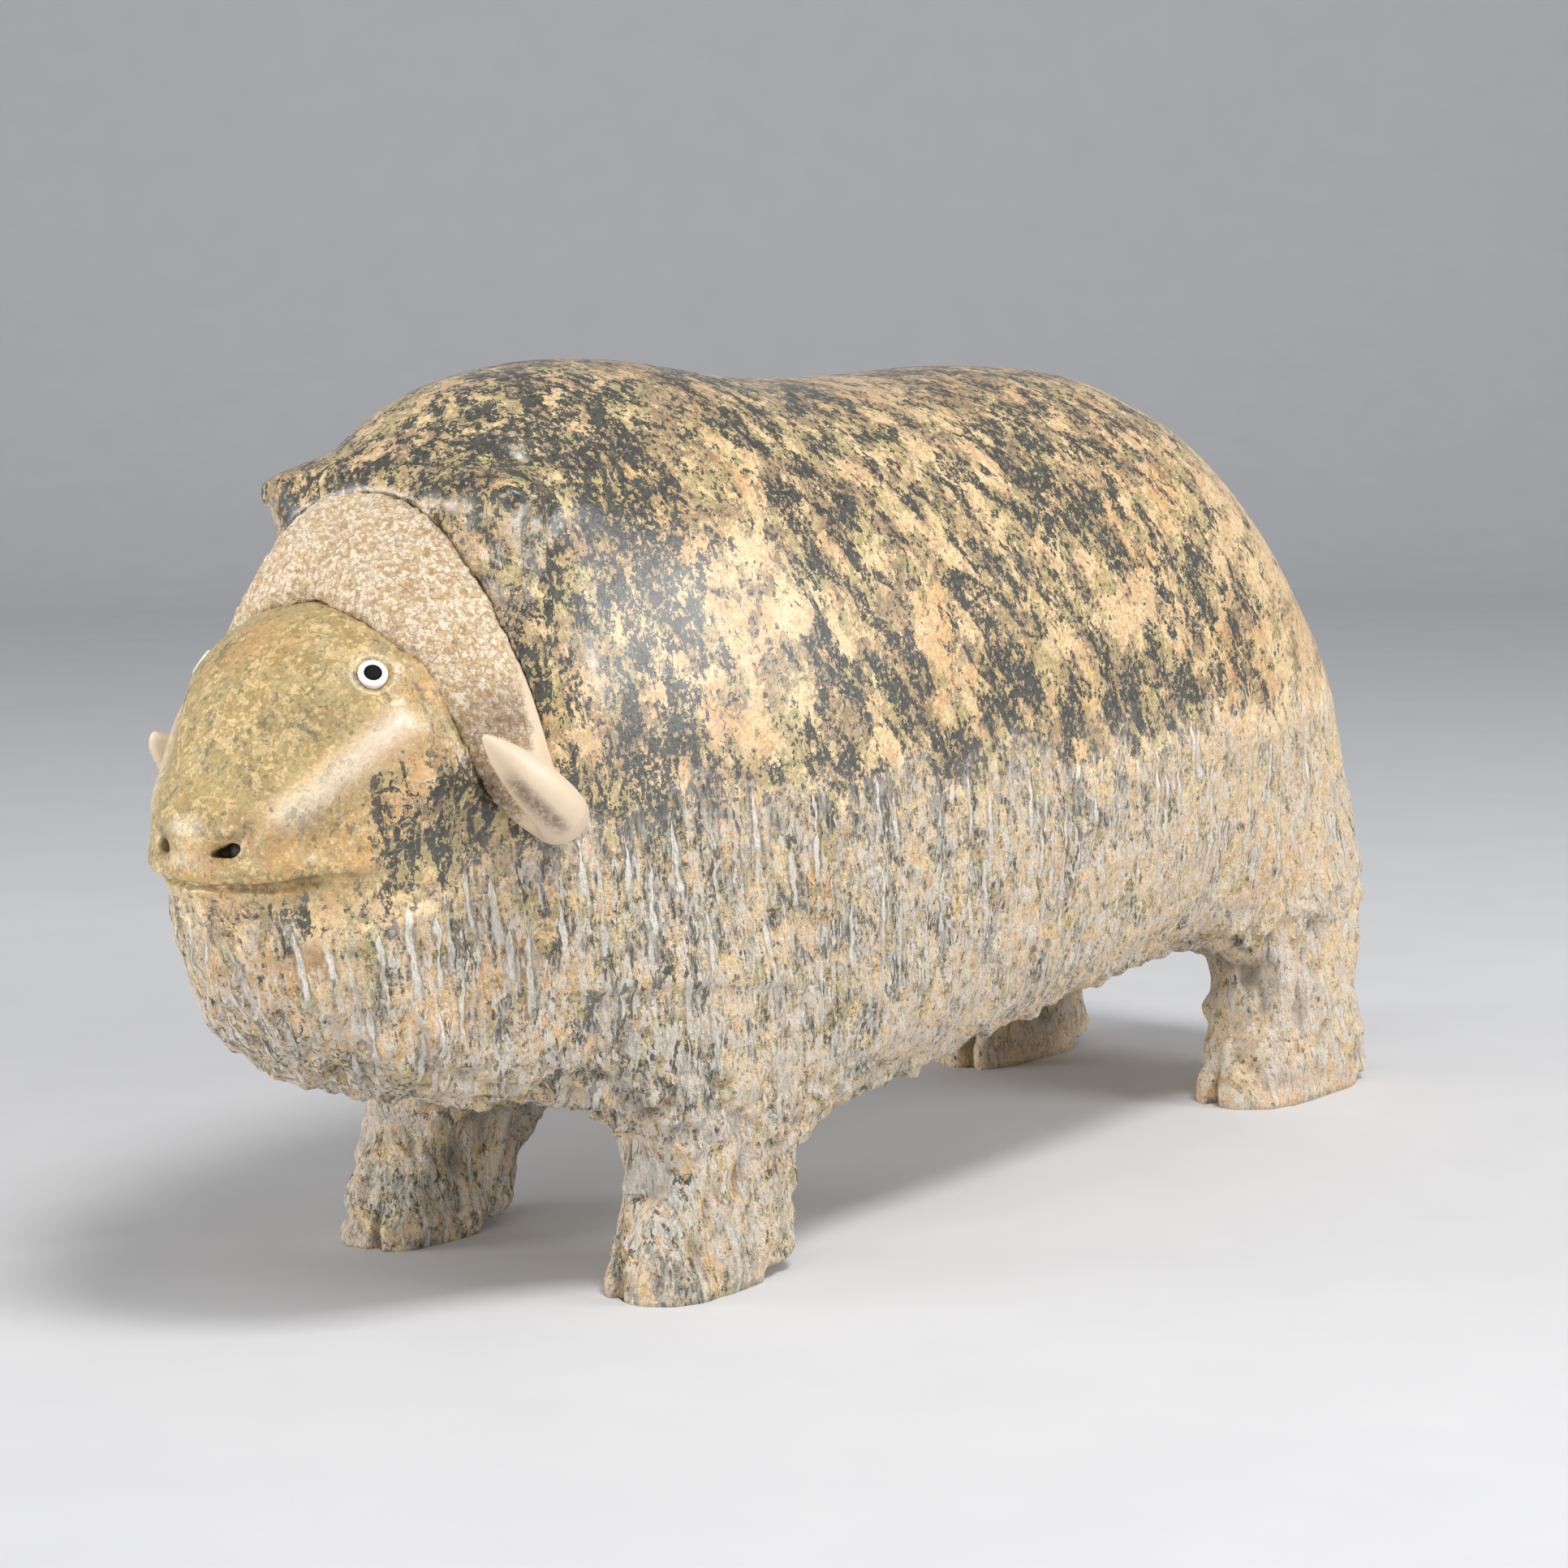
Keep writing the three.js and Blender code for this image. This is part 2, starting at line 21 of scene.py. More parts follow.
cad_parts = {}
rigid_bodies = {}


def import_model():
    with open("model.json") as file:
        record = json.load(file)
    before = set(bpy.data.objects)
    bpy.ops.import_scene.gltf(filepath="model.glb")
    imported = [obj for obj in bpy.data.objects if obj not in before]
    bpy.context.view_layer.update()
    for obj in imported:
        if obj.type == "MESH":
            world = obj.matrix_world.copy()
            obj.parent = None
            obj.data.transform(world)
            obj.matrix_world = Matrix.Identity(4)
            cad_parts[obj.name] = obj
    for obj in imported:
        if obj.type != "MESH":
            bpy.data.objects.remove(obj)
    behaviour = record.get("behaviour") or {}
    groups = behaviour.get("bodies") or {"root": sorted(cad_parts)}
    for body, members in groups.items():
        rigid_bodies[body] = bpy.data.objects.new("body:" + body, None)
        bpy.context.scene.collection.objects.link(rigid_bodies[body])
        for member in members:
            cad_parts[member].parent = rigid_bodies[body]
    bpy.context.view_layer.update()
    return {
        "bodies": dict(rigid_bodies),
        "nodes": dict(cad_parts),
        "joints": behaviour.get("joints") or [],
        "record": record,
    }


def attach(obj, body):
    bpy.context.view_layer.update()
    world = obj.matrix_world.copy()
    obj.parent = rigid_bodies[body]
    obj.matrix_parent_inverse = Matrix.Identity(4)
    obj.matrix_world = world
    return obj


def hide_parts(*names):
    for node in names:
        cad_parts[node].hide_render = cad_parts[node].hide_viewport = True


LOG = logging.getLogger("muskox")
MM = 0.001
PAINTED_MM = 100.0  # millimetres in one unit of the painted run and fall
SIDE_SHIFT_MM = 37.0  # how far the painted run of the right side is shifted, so that the sides differ

Place = tuple[float, float, float]
Line = tuple[Place, Place]
Patch = tuple[Place, float]


# Numbers and noise


def smoothstep(low: float, high: float, value: np.ndarray) -> np.ndarray:
    """Rises smoothly from 0 at low to 1 at high, and falls if high is the smaller."""
    t = np.clip((value - low) / (high - low), 0.0, 1.0)
    return t * t * (3.0 - 2.0 * t)


def lattice(cell: np.ndarray, seed: int) -> np.ndarray:
    """Gives each lattice cell a fixed value.

    Args:
        cell: Whole-number cell positions, one row of three each.
        seed: Picks one of many patterns.

    Returns:
        One value from -1 to 1 for each row.
    """
    primes, stir, word, half_word = (374761393, 668265263, 1440662683), 1274126177, 0xFFFFFFFF, 0xFFFF
    mixed = sum(cell[:, axis] * prime for axis, prime in enumerate(primes)) + seed * 974634777
    mixed = (mixed ^ (mixed >> 13)) & word
    mixed = (mixed * stir) & word
    return ((mixed ^ (mixed >> 16)) & half_word) / (half_word / 2) - 1.0


def noise(points: np.ndarray, size: Place, seed: int) -> np.ndarray:
    """Smooth noise whose lumps have a given size along each axis.

    Args:
        points: Positions in millimetres.
        size: Size of a lump along X, Y and Z, in millimetres.
        seed: Picks one of many patterns.

    Returns:
        One value from -1 to 1 for each point.
    """
    scaled = points / np.array(size) + 1000.0
    whole = np.floor(scaled).astype(np.int64)
    part = scaled - whole
    ease = part * part * part * (part * (part * 6.0 - 15.0) + 10.0)
    total = np.zeros(len(points))
    for corner in range(8):
        step = np.array([corner & 1, (corner >> 1) & 1, corner >> 2])
        weight = np.prod(np.where(step, ease, 1.0 - ease), axis=1)
        total += weight * lattice(whole + step, seed)
    return total


def layered(points: np.ndarray, size: Place, seed: int, layers: int = 3) -> np.ndarray:
    """Noise with finer and weaker layers on top.

    Args:
        points: Positions in millimetres.
        size: Size of the largest lumps, in millimetres.
        seed: Picks one of many patterns.
        layers: How many layers, each half as large as the last.

    Returns:
        One value for each point, mostly from -1 to 1.
    """
    total, share = np.zeros(len(points)), 1.0
    for layer in range(layers):
        finer = tuple(s / 2**layer for s in size)
        total += share * noise(points, finer, seed + layer)
        share *= 0.5
    return total / 1.4


def bell(value: np.ndarray, width: np.ndarray | float = 1.0, power: int = 2) -> np.ndarray:
    """1 where the value is 0, falling off on either side; a higher power gives a flatter top."""
    return np.exp(-((value / width) ** power))


def blob(points: np.ndarray, centre: Place, reach: float) -> np.ndarray:
    """1 at a centre, falling smoothly to 0 at a distance of reach millimetres."""
    return smoothstep(reach, 0.0, np.linalg.norm(points - np.array(centre), axis=1))


# Meshes


def read(items: Any, name: str) -> np.ndarray:
    """A vector property of many mesh items, one row for each."""
    flat = np.empty(len(items) * 3, np.float32)
    items.foreach_get(name, flat)
    return flat.reshape(-1, 3).astype(float)


@dataclass
class Skin:
    """A mesh as arrays: positions in millimetres and edges."""

    mesh: bpy.types.Mesh
    points: np.ndarray = field(init=False)
    edges: np.ndarray = field(init=False)

    def __post_init__(self) -> None:
        """Reads the positions and the edges."""
        self.points = read(self.mesh.vertices, "co") / MM
        ends = np.empty(len(self.mesh.edges) * 2, np.int32)
        self.mesh.edges.foreach_get("vertices", ends)
        self.edges = ends.reshape(-1, 2)

    def normals(self) -> np.ndarray:
        """Writes the positions to the mesh and returns its vertex normals."""
        self.write()
        return read(self.mesh.vertex_normals, "vector")

    def write(self) -> None:
        """Puts the positions back in the mesh."""
        self.mesh.vertices.foreach_set("co", (self.points * MM).astype(np.float32).ravel())
        self.mesh.update()

    def ease(self, share: np.ndarray, rounds: int, hold: float = 0.0) -> None:
        """Moves each point towards the mean of its neighbours, a number of times.

        Args:
            share: How far each point moves, from 0 to 1.
            rounds: How many times.
            hold: Size of the step back after each round, which keeps thin shapes from shrinking.
        """
        first, second = self.edges[:, 0], self.edges[:, 1]
        count = len(self.points)
        ways = np.bincount(first, minlength=count) + np.bincount(second, minlength=count)
        ways = np.maximum(ways, 1)
        for _ in range(rounds):
            for step in (1.0, -hold) if hold else (1.0,):
                for axis in range(3):
                    line = self.points[:, axis]
                    near = np.bincount(first, line[second], count) + np.bincount(second, line[first], count)
                    self.points[:, axis] = line + step * share * (near / ways - line)

    def paint(self, name: str, values: np.ndarray) -> None:
        """Stores one number per point under a name that the materials read."""
        layer = self.mesh.attributes.get(name) or self.mesh.attributes.new(name, "FLOAT", "POINT")
        layer.data.foreach_set("value", np.clip(values, -4.0, 4.0).astype(np.float32))


def with_modifier(source: bpy.types.Mesh, kind: str, **settings: Any) -> bpy.types.Mesh:
    """Runs one modifier on a mesh.

    Args:
        source: The mesh to start from, which isn't changed.
        kind: Type of the modifier.
        **settings: Its settings.

    Returns:
        A new mesh.
    """
    holder = put("holder", source)
    modifier = holder.modifiers.new("step", kind)
    for name, value in settings.items():
        setattr(modifier, name, value)
    graph = bpy.context.evaluated_depsgraph_get()
    shaped = holder.evaluated_get(graph)
    made = bpy.data.meshes.new_from_object(shaped, preserve_all_data_layers=True, depsgraph=graph)
    bpy.data.objects.remove(holder)
    return made


def remeshed(node: bpy.types.Object, voxel_mm: float) -> bpy.types.Mesh:
    """A fine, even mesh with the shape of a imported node."""
    return with_modifier(node.data.copy(), "REMESH", mode="VOXEL", voxel_size=voxel_mm * MM, adaptivity=0.0)


def thinned(mesh: bpy.types.Mesh, most: int) -> bpy.types.Mesh:
    """The mesh with at most that many triangles, the flattest places first."""
    have = sum(len(p.vertices) - 2 for p in mesh.polygons)
    if have <= most:
        return mesh
    return with_modifier(mesh, "DECIMATE", decimate_type="COLLAPSE", ratio=most / have)


def refined(mesh: bpy.types.Mesh, wanted: Callable[[np.ndarray], np.ndarray]) -> bpy.types.Mesh:
    """Splits each wanted face into four.

    Args:
        mesh: The mesh, which is changed.
        wanted: Says which face centres, in millimetres, are in a zone of fine carving.

    Returns:
        The same mesh.
    """
    chosen = np.nonzero(wanted(read(mesh.polygons, "center") / MM))[0]
    work = bmesh.new()
    work.from_mesh(mesh)
    work.faces.ensure_lookup_table()
    edges = {edge for index in chosen for edge in work.faces[index].edges}
    bmesh.ops.subdivide_edges(work, edges=list(edges), cuts=1, use_grid_fill=True)
    work.to_mesh(mesh)
    work.free()
    return mesh


def line_gap(points: np.ndarray, line: Line) -> tuple[np.ndarray, np.ndarray]:
    """Distance from a straight line between two places, and how far along it each point lies.

    Args:
        points: Positions in millimetres.
        line: The two ends.

    Returns:
        The distance, and the share of the way from the first end to the second.
    """
    first, along = np.array(line[0]), np.array(line[1]) - np.array(line[0])
    share = np.clip(((points - first) @ along) / (along @ along), 0.0, 1.0)
    return np.linalg.norm(points - first - share[:, None] * along, axis=1), share


def folded(points: np.ndarray) -> np.ndarray:
    """The points with the right side folded over onto the left."""
    return np.stack([np.abs(points[:, 0]), points[:, 1], points[:, 2]], axis=1)


def nearness(points: np.ndarray, targets: np.ndarray, reach: float) -> np.ndarray:
    """Distance from each point to the nearest target, but no more than reach, all in millimetres."""
    tree = KDTree(len(targets))
    for index, target in enumerate(targets):
        tree.insert(target, index)
    tree.balance()
    low, high = targets.min(0) - reach, targets.max(0) + reach
    found = np.full(len(points), reach)
    for index in np.nonzero(np.all((points > low) & (points < high), axis=1))[0]:
        found[index] = min(tree.find(points[index])[2], reach)
    return found


def put(name: str, data: Any) -> bpy.types.Object:
    """Puts a mesh, a lamp or a camera in the scene."""
    thing = bpy.data.objects.new(name, data)
    bpy.context.scene.collection.objects.link(thing)
    return thing


def placed(
    name: str, mesh: bpy.types.Mesh, node: str, finish: bpy.types.Material
) -> bpy.types.Object:
    """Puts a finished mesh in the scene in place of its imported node.

    Args:
        name: Name of the visible piece.
        mesh: Its mesh, in the row frame.
        node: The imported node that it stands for.
        finish: Its material.

    Returns:
        The new object.
    """
    mesh.materials.clear()
    mesh.materials.append(finish)
    mesh.polygons.foreach_set("use_smooth", [True] * len(mesh.polygons))
    mesh.polygons.foreach_set("material_index", [0] * len(mesh.polygons))
    piece = put(name, mesh)
    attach(piece, "root")
    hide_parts(node)
    LOG.info("%s: %d points, %d faces", name, len(mesh.vertices), len(mesh.polygons))
    return piece


# Materials


def linear(code: str) -> tuple[float, float, float, float]:
    """An sRGB hex colour as linear red, green, blue and alpha."""
    parts = [int(code[i : i + 2], 16) / 255 for i in (1, 3, 5)]
    r, g, b = (p / 12.92 if p <= 0.04045 else ((p + 0.055) / 1.055) ** 2.4 for p in parts)
    return (r, g, b, 1.0)


class Blend(Enum):
    """The ways in which two colours are put together."""

    OVER = "MIX"
    TINT = "MULTIPLY"


class Op(Enum):
    """The sums that a recipe does with numbers."""

    ADD = "ADD"
    SUBTRACT = "SUBTRACT"
    MULTIPLY = "MULTIPLY"
    MULTIPLY_ADD = "MULTIPLY_ADD"
    DIVIDE = "DIVIDE"
    SMALLER = "MINIMUM"
    LARGER = "MAXIMUM"
    ABSOLUTE = "ABSOLUTE"


@dataclass(frozen=True)
class Grain:
    """Noise: size of its lumps in millimetres, fineness, roughness, swirl, and their stretch and lean."""

    size: float
    detail: float = 2.0
    rough: float = 0.5
    swirl: float = 0.0
    long: float = 1.0
    lean: float = 0.0


@dataclass(frozen=True)
class Mosaic:
    """Grains side by side: their size and the size and reach of the noise that frays them, in millimetres."""

    size: float
    fray: float
    reach: float
    long: float = 1.0
    lean: float = 0.0


@dataclass
class Recipe:
    """One material and the nodes that make its look."""

    name: str
    material: bpy.types.Material = field(init=False)
    tree: bpy.types.NodeTree = field(init=False)
    shared: dict[Any, Any] = field(default_factory=dict)

    def __post_init__(self) -> None:
        """Makes an empty material."""
        self.material = bpy.data.materials.new(self.name)
        self.material.use_nodes = True
        self.tree = self.material.node_tree
        self.tree.nodes.clear()

    def add(self, kind: str, inputs: dict[Any, Any] | None = None, out: int = 0, **settings: Any) -> Any:
        """Adds a node with its settings and links.

        Args:
            kind: Node type without its ShaderNode prefix.
            inputs: Sockets by name or number, each with a value, a hex colour or the output that feeds it.
            out: Number of the output to return.
            **settings: Node settings.

        Returns:
            The output asked for, or the node if it has none.
        """
        node = self.tree.nodes.new("ShaderNode" + kind)
        for name, value in settings.items():
            setattr(node, name, value)
        for key, value in (inputs or {}).items():
            socket = node.inputs[key]
            if isinstance(value, bpy.types.NodeSocket):
                self.tree.links.new(value, socket)
            else:
                socket.default_value = linear(value) if isinstance(value, str) else value
        return node.outputs[out] if len(node.outputs) else node

    def place(self, long: float = 1.0, lean: float = 0.0) -> Any:
        """Position on the piece in millimetres, drawn out long times down a line that leans to the rear."""
        if (long, lean) not in self.shared:
            spot = self.add("TexCoord", out=3)
            parts = {"Vector": spot, "Rotation": (math.radians(lean), 0, 0), "Scale": (MM, MM, MM * long)}
            self.shared[long, lean] = self.add("Mapping", parts, vector_type="TEXTURE")
        return self.shared[long, lean]

    def painted(self, name: str) -> Any:
        """A number that the mesh carries under this name."""
        if name not in self.shared:
            self.shared[name] = self.add("Attribute", out=2, attribute_name=name)
        return self.shared[name]

    def calc(self, op: Op, *values: Any, clamp: bool = False) -> Any:
        """A sum of numbers, kept from 0 to 1 if clamp is set."""
        return self.add("Math", dict(enumerate(values)), operation=op.value, use_clamp=clamp)

    def times(self, *shares: Any) -> Any:
        """Shares multiplied with each other, from the first on."""
        total = shares[0]
        for share in shares[1:]:
            total = self.calc(Op.MULTIPLY, total, share, clamp=True)
        return total

    def span(self, value: Any, low: float, high: float, to_low: float = 0.0, to_high: float = 1.0) -> Any:
        """Takes a value from one range to another with soft ends."""
        ends = {0: value, 1: low, 2: high, 3: to_low, 4: to_high}
        return self.add("MapRange", ends, interpolation_type="SMOOTHSTEP")

    def mix(self, share: Any, first: Any, second: Any, how: Blend = Blend.OVER) -> Any:
        """One colour blended over another by a share."""
        return self.add("Mix", {0: share, 6: first, 7: second}, out=2, data_type="RGBA", blend_type=how.value)

    def grain(self, look: Grain) -> Any:
        """Noise from 0 to 1."""
        parts = {"Vector": self.place(look.long, look.lean), "Scale": 1.0 / look.size}
        parts |= {"Detail": look.detail, "Roughness": look.rough, "Distortion": look.swirl}
        return self.add("TexNoise", parts)

    def mosaic(self, look: Mosaic) -> tuple[Any, Any, Any]:
        """Ragged grains side by side.

        Args:
            look: What they look like.

        Returns:
            Distance from the middle of each grain, and two chances from 0 to 1 for each grain.
        """
        where = self.place(look.long, look.lean)
        push = self.add("TexNoise", {"Vector": where, "Scale": 1.0 / look.fray, "Detail": 1.0}, out=1)
        where = self.add("VectorMath", {0: push, 1: (look.reach,) * 3, 2: where}, operation="MULTIPLY_ADD")
        cells = self.add("TexVoronoi", {"Vector": where, "Scale": 1.0 / look.size}).node.outputs
        chances = self.add("SeparateColor", {0: cells[1]}).node.outputs
        return cells[0], chances[0], chances[1]

    def among(self, cover: Any, chance: Any) -> Any:
        """1 in the grains whose chance is under the cover."""
        return self.span(self.calc(Op.SUBTRACT, cover, chance), -0.02, 0.03)

    def bump(self, height: Any, strength: float) -> Any:
        """A normal from a height in metres."""
        return self.add("Bump", {"Strength": strength, "Distance": 1.0, "Height": height})

    def surface(self, inputs: dict[str, Any]) -> bpy.types.Material:
        """Ends the recipe with its shader and returns the material."""
        shader = self.add("BsdfPrincipled", inputs)
        self.add("OutputMaterial", {"Surface": shader})
        return self.material


@dataclass(frozen=True)
class MottledSerpentine:
    """Serpentine rock, rubbed to a satin polish above and left from the chisel below.

    To the eye: cream ground with rusty patches, olive and brown clouds, veins of blue-black grains
    that lean down to the rear, broad soft highlights above, whitish bruised stone below, with shade painted
    into its crevices, beside its strokes and into its cuts.
    """

    cream: str = "#E0C79C"
    tan: str = "#CFB188"
    rust: str = "#D09A60"
    olive: str = "#A09565"
    brown: str = "#84745C"
    ink: str = "#292D2E"
    slate: str = "#484D4C"
    face: str = "#A18A56"
    face_pale: str = "#D2B986"
    bruised: str = "#F2E8DA"
    stroke: str = "#F9F2E8"
    # Painted shade: darkens the low crumbs of the chiselled stone, the rims beside the strokes, and the
    # recesses and cuts.
    hollow: str = "#5E5545"
    # Painted shade in the deepest cuts: the mouth, the nostrils and the toe clefts.
    hole: str = "#231D17"
    ior: float = 1.56
    polished_roughness: float = 0.24
    chiselled_roughness: float = 0.88
    face_roughness: float = 0.10
    polished_relief: float = 0.00004
    chiselled_relief: float = 0.00105
    crumb_relief: float = 2.3
    bump: float = 0.9
    tone_low: tuple[float, ...] = (0.78, 0.78, 0.80, 1.0)
    tone_high: tuple[float, ...] = (1.16, 1.14, 1.11, 1.0)
    as_polished: tuple[float, ...] = (1.0, 1.0, 1.0, 1.0)
    paled: tuple[float, ...] = (1.30, 1.27, 1.20, 1.0)
    stroke_pitch: float = 4.8
    stroke_length: float = 20.0
    stroke_half: float = 0.86
    stroke_lean: float = 0.14

    # The patterns in the stone, from the broad to the fine.
    patch: Grain = Grain(9.0, 5.0, 0.66, 0.3)
    wash: Grain = Grain(9.0, 4.0, 0.6)
    murk: Grain = Grain(8.0, 5.0, 0.74, 0.3)
    cloud: Grain = Grain(7.0, 5.0, 0.70, 0.3, 1.35, 28.0)
    fleck: Grain = Grain(4.0, 4.0, 0.7)
    leaning_vein: Grain = Grain(4.4, 5.0, 0.62, 0.3, 2.6, 36.0)
    upright_vein: Grain = Grain(3.4, 5.0, 0.66, 0.3, 3.2, 4.0)
    crumb: Grain = Grain(1.7, 4.0, 0.80, 0.0, 1.3)
    scuff: Grain = Grain(0.8, 3.0, 0.68, 0.0, 9.0, 7.0)
    sugar: Grain = Grain(0.7, 3.0, 0.7)
    groove: Grain = Grain(0.5, 3.0, 0.6, 0.0, 7.0, 7.0)
    sway: Grain = Grain(3.0)
    lift: Grain = Grain(6.0)
    ground_cells: Mosaic = Mosaic(1.15, 1.0, 2.4)
    cloud_cells: Mosaic = Mosaic(1.05, 0.9, 2.2)
    dark_cells: Mosaic = Mosaic(0.78, 0.7, 2.0)
    flakes: Mosaic = Mosaic(0.75, 1.3, 1.8, 3.4, 7.0)
    crystals: Mosaic = Mosaic(0.55, 0.5, 0.9)

    def make(self) -> bpy.types.Material:
        """Builds the rock: ground, clouds, grains, bruising and strokes, then gloss and bump."""
        r = Recipe("mottled_serpentine")
        polish, wash = r.painted("polish"), r.grain(self.wash)
        crumb, scuff = r.grain(self.crumb), r.grain(self.scuff)
        colour = self.mottle(r, self.ground(r))
        jitter = r.mosaic(self.crystals)[1]
        colour = r.mix(1.0, colour, r.mix(jitter, self.tone_low, self.tone_high), Blend.TINT)
        colour = self.chiselled(r, colour, crumb, scuff, wash)

        rough = r.span(polish, 0.0, 1.0, self.chiselled_roughness, self.polished_roughness)
        rough = r.calc(Op.ADD, rough, r.span(wash, 0.3, 0.7, -0.03, 0.08))
        rough = r.calc(Op.MULTIPLY_ADD, r.painted("face"), self.face_roughness, rough)
        relief = r.calc(Op.MULTIPLY_ADD, crumb, self.crumb_relief, r.grain(self.sugar))
        relief = r.calc(Op.ADD, scuff, relief)
        depth = r.span(polish, 0.0, 1.0, self.chiselled_relief, self.polished_relief)
        bump = r.bump(r.calc(Op.MULTIPLY, relief, depth), self.bump)
        return r.surface({"Base Color": colour, "Roughness": rough, "IOR": self.ior, "Normal": bump})

    def ground(self, r: Recipe) -> Any:
        """Cream, tan and rusty ground in patches of 5 to 15 mm, ochre and granular on the face."""
        face = r.painted("face")
        _, first, second = r.mosaic(self.ground_cells)
        patches = r.among(r.span(r.grain(self.patch), 0.38, 0.64), first)
        colour = r.mix(patches, self.cream, self.tan)
        pale = r.among(r.span(r.grain(self.fleck), 0.36, 0.64, 0.15, 0.85), first)
        broad = r.grain(self.murk)
        murk = r.among(r.span(broad, 0.43, 0.58, 0.03, 0.85), second)
        plate = r.mix(r.times(murk, 0.8), r.mix(pale, self.face, self.face_pale), self.olive)
        colour = r.mix(r.times(face, 0.85), colour, plate)
        rusty = r.times(r.painted("warm"), r.span(broad, 0.38, 0.58), r.span(second, 0.0, 1.0, 0.55, 1.0))
        return r.mix(r.times(rusty, r.span(face, 0.0, 1.0, 0.95, 0.8)), colour, self.rust)

    def mottle(self, r: Recipe, colour: Any) -> Any:
        """Olive and brown clouds, and veins of dark grains that lean down to the rear.

        Args:
            r: The recipe to add to.
            colour: The ground colour.

        Returns:
            The mottled colour.
        """
        dark, face = r.painted("dark"), r.painted("face")
        plain = r.span(face, 0.0, 1.0, 1.0, 0.35)
        _, coarse, tint = r.mosaic(self.cloud_cells)
        need = r.calc(Op.MULTIPLY_ADD, dark, -0.11, 0.574)
        cloud = r.span(r.calc(Op.SUBTRACT, r.grain(self.cloud), need), -0.05, 0.05, 0.02, 0.95)
        murk = r.mix(r.span(r.grain(self.patch), 0.42, 0.56), self.olive, self.brown)
        clouded = r.times(r.among(cloud, coarse), r.span(tint, 0.0, 1.0, 0.45, 0.95))
        colour = r.mix(r.times(clouded, plain), colour, murk)
        # Grains of about 1 mm: crowded in veins 4 mm wide, scattered in the clouds, few on the ground.
        # The veins stand upright at the neck and lean further back.
        back = r.span(r.painted("run"), -1.15, -0.55)
        leaning = r.times(r.grain(self.leaning_vein), back)
        band = r.calc(Op.MULTIPLY_ADD, r.grain(self.upright_vein), r.span(back, 0.0, 1.0, 1.0, 0.0), leaning)
        need = r.calc(Op.MULTIPLY_ADD, r.calc(Op.SMALLER, dark, 1.5), -0.085, 0.632)
        need = r.calc(Op.MULTIPLY_ADD, cloud, -0.04, need)
        vein = r.span(r.calc(Op.SUBTRACT, band, need), -0.025, 0.045)
        cover = r.calc(Op.MULTIPLY, cloud, r.span(dark, 0.0, 0.6, 0.02, 0.13))
        cover = r.calc(Op.MULTIPLY_ADD, vein, 0.66, cover)
        cover = r.calc(Op.ADD, cover, r.span(dark, 0.0, 0.5, 0.002, 0.022))
        _, small, shade = r.mosaic(self.dark_cells)
        colour = r.mix(r.times(vein, 0.30, plain), colour, self.brown)
        grains = r.times(r.among(cover, small), 0.92, r.span(face, 0.0, 1.0, 1.0, 0.5))
        return r.mix(grains, colour, r.mix(shade, self.ink, self.slate))

    def chiselled(self, r: Recipe, colour: Any, crumb: Any, scuff: Any, wash: Any) -> Any:
        """Below the polish: stone bruised pale in upright flakes and scuffs, with chisel strokes; painted
        shade in the crevices, beside the strokes and in the cuts; pale scratches and a painted highlight on
        the cheek ridges.

        Args:
            r: The recipe to add to.
            colour: Colour of the stone when polished.
            crumb: The noise of the crumbs.
            scuff: The noise of the scuffs.
            wash: The broad noise that says where the flakes crowd.

        Returns:
            The colour of the stone as it is.
        """
        dry, pit_shade = r.calc(Op.SUBTRACT, 1.0, r.painted("polish")), r.painted("pit_shade")
        colour = r.mix(1.0, colour, r.mix(dry, self.as_polished, self.paled), Blend.TINT)
        _, chance, strength = r.mosaic(self.flakes)
        cover = r.span(wash, 0.40, 0.58, 0.08, 0.62)
        cover = r.calc(Op.ADD, cover, r.span(r.painted("fall"), 0.10, 0.75, 0.0, 0.32))
        chalk = r.times(r.among(cover, chance), r.span(strength, 0.0, 1.0, 0.35, 0.95))
        dusty = r.calc(Op.LARGER, chalk, r.span(scuff, 0.49, 0.64, 0.05, 0.6), clamp=True)
        line, rim = self.strokes(r)
        grooved = r.span(r.grain(self.groove), 0.38, 0.54, 0.6, 1.0)
        layers = (
            (r.times(dry, dusty), self.bruised),
            # Painted shade in the low crevices between the crumbs.
            (r.times(dry, r.span(crumb, 0.44, 0.33, 0.0, 0.8)), self.hollow),
            # Painted shade on the rims beside each stroke.
            (r.times(rim, r.span(dry, 0.0, 0.60, 0.0, 0.42)), self.hollow),
            (r.times(line, grooved, r.span(dry, 0.0, 0.30)), self.stroke),
            # Pale scratches, and along the cheek ridge pale wear that is also a painted highlight.
            (r.times(r.painted("scratch_and_sheen"), 0.85), self.stroke),
            # Painted shade in the recesses and cuts, darkest in the deepest cuts.
            (r.times(pit_shade, 0.8), self.hollow),
            (r.span(pit_shade, 0.65, 1.0, 0.0, 0.85), self.hole),
        )
        for share, tone in layers:
            colour = r.mix(share, colour, tone)
        return colour

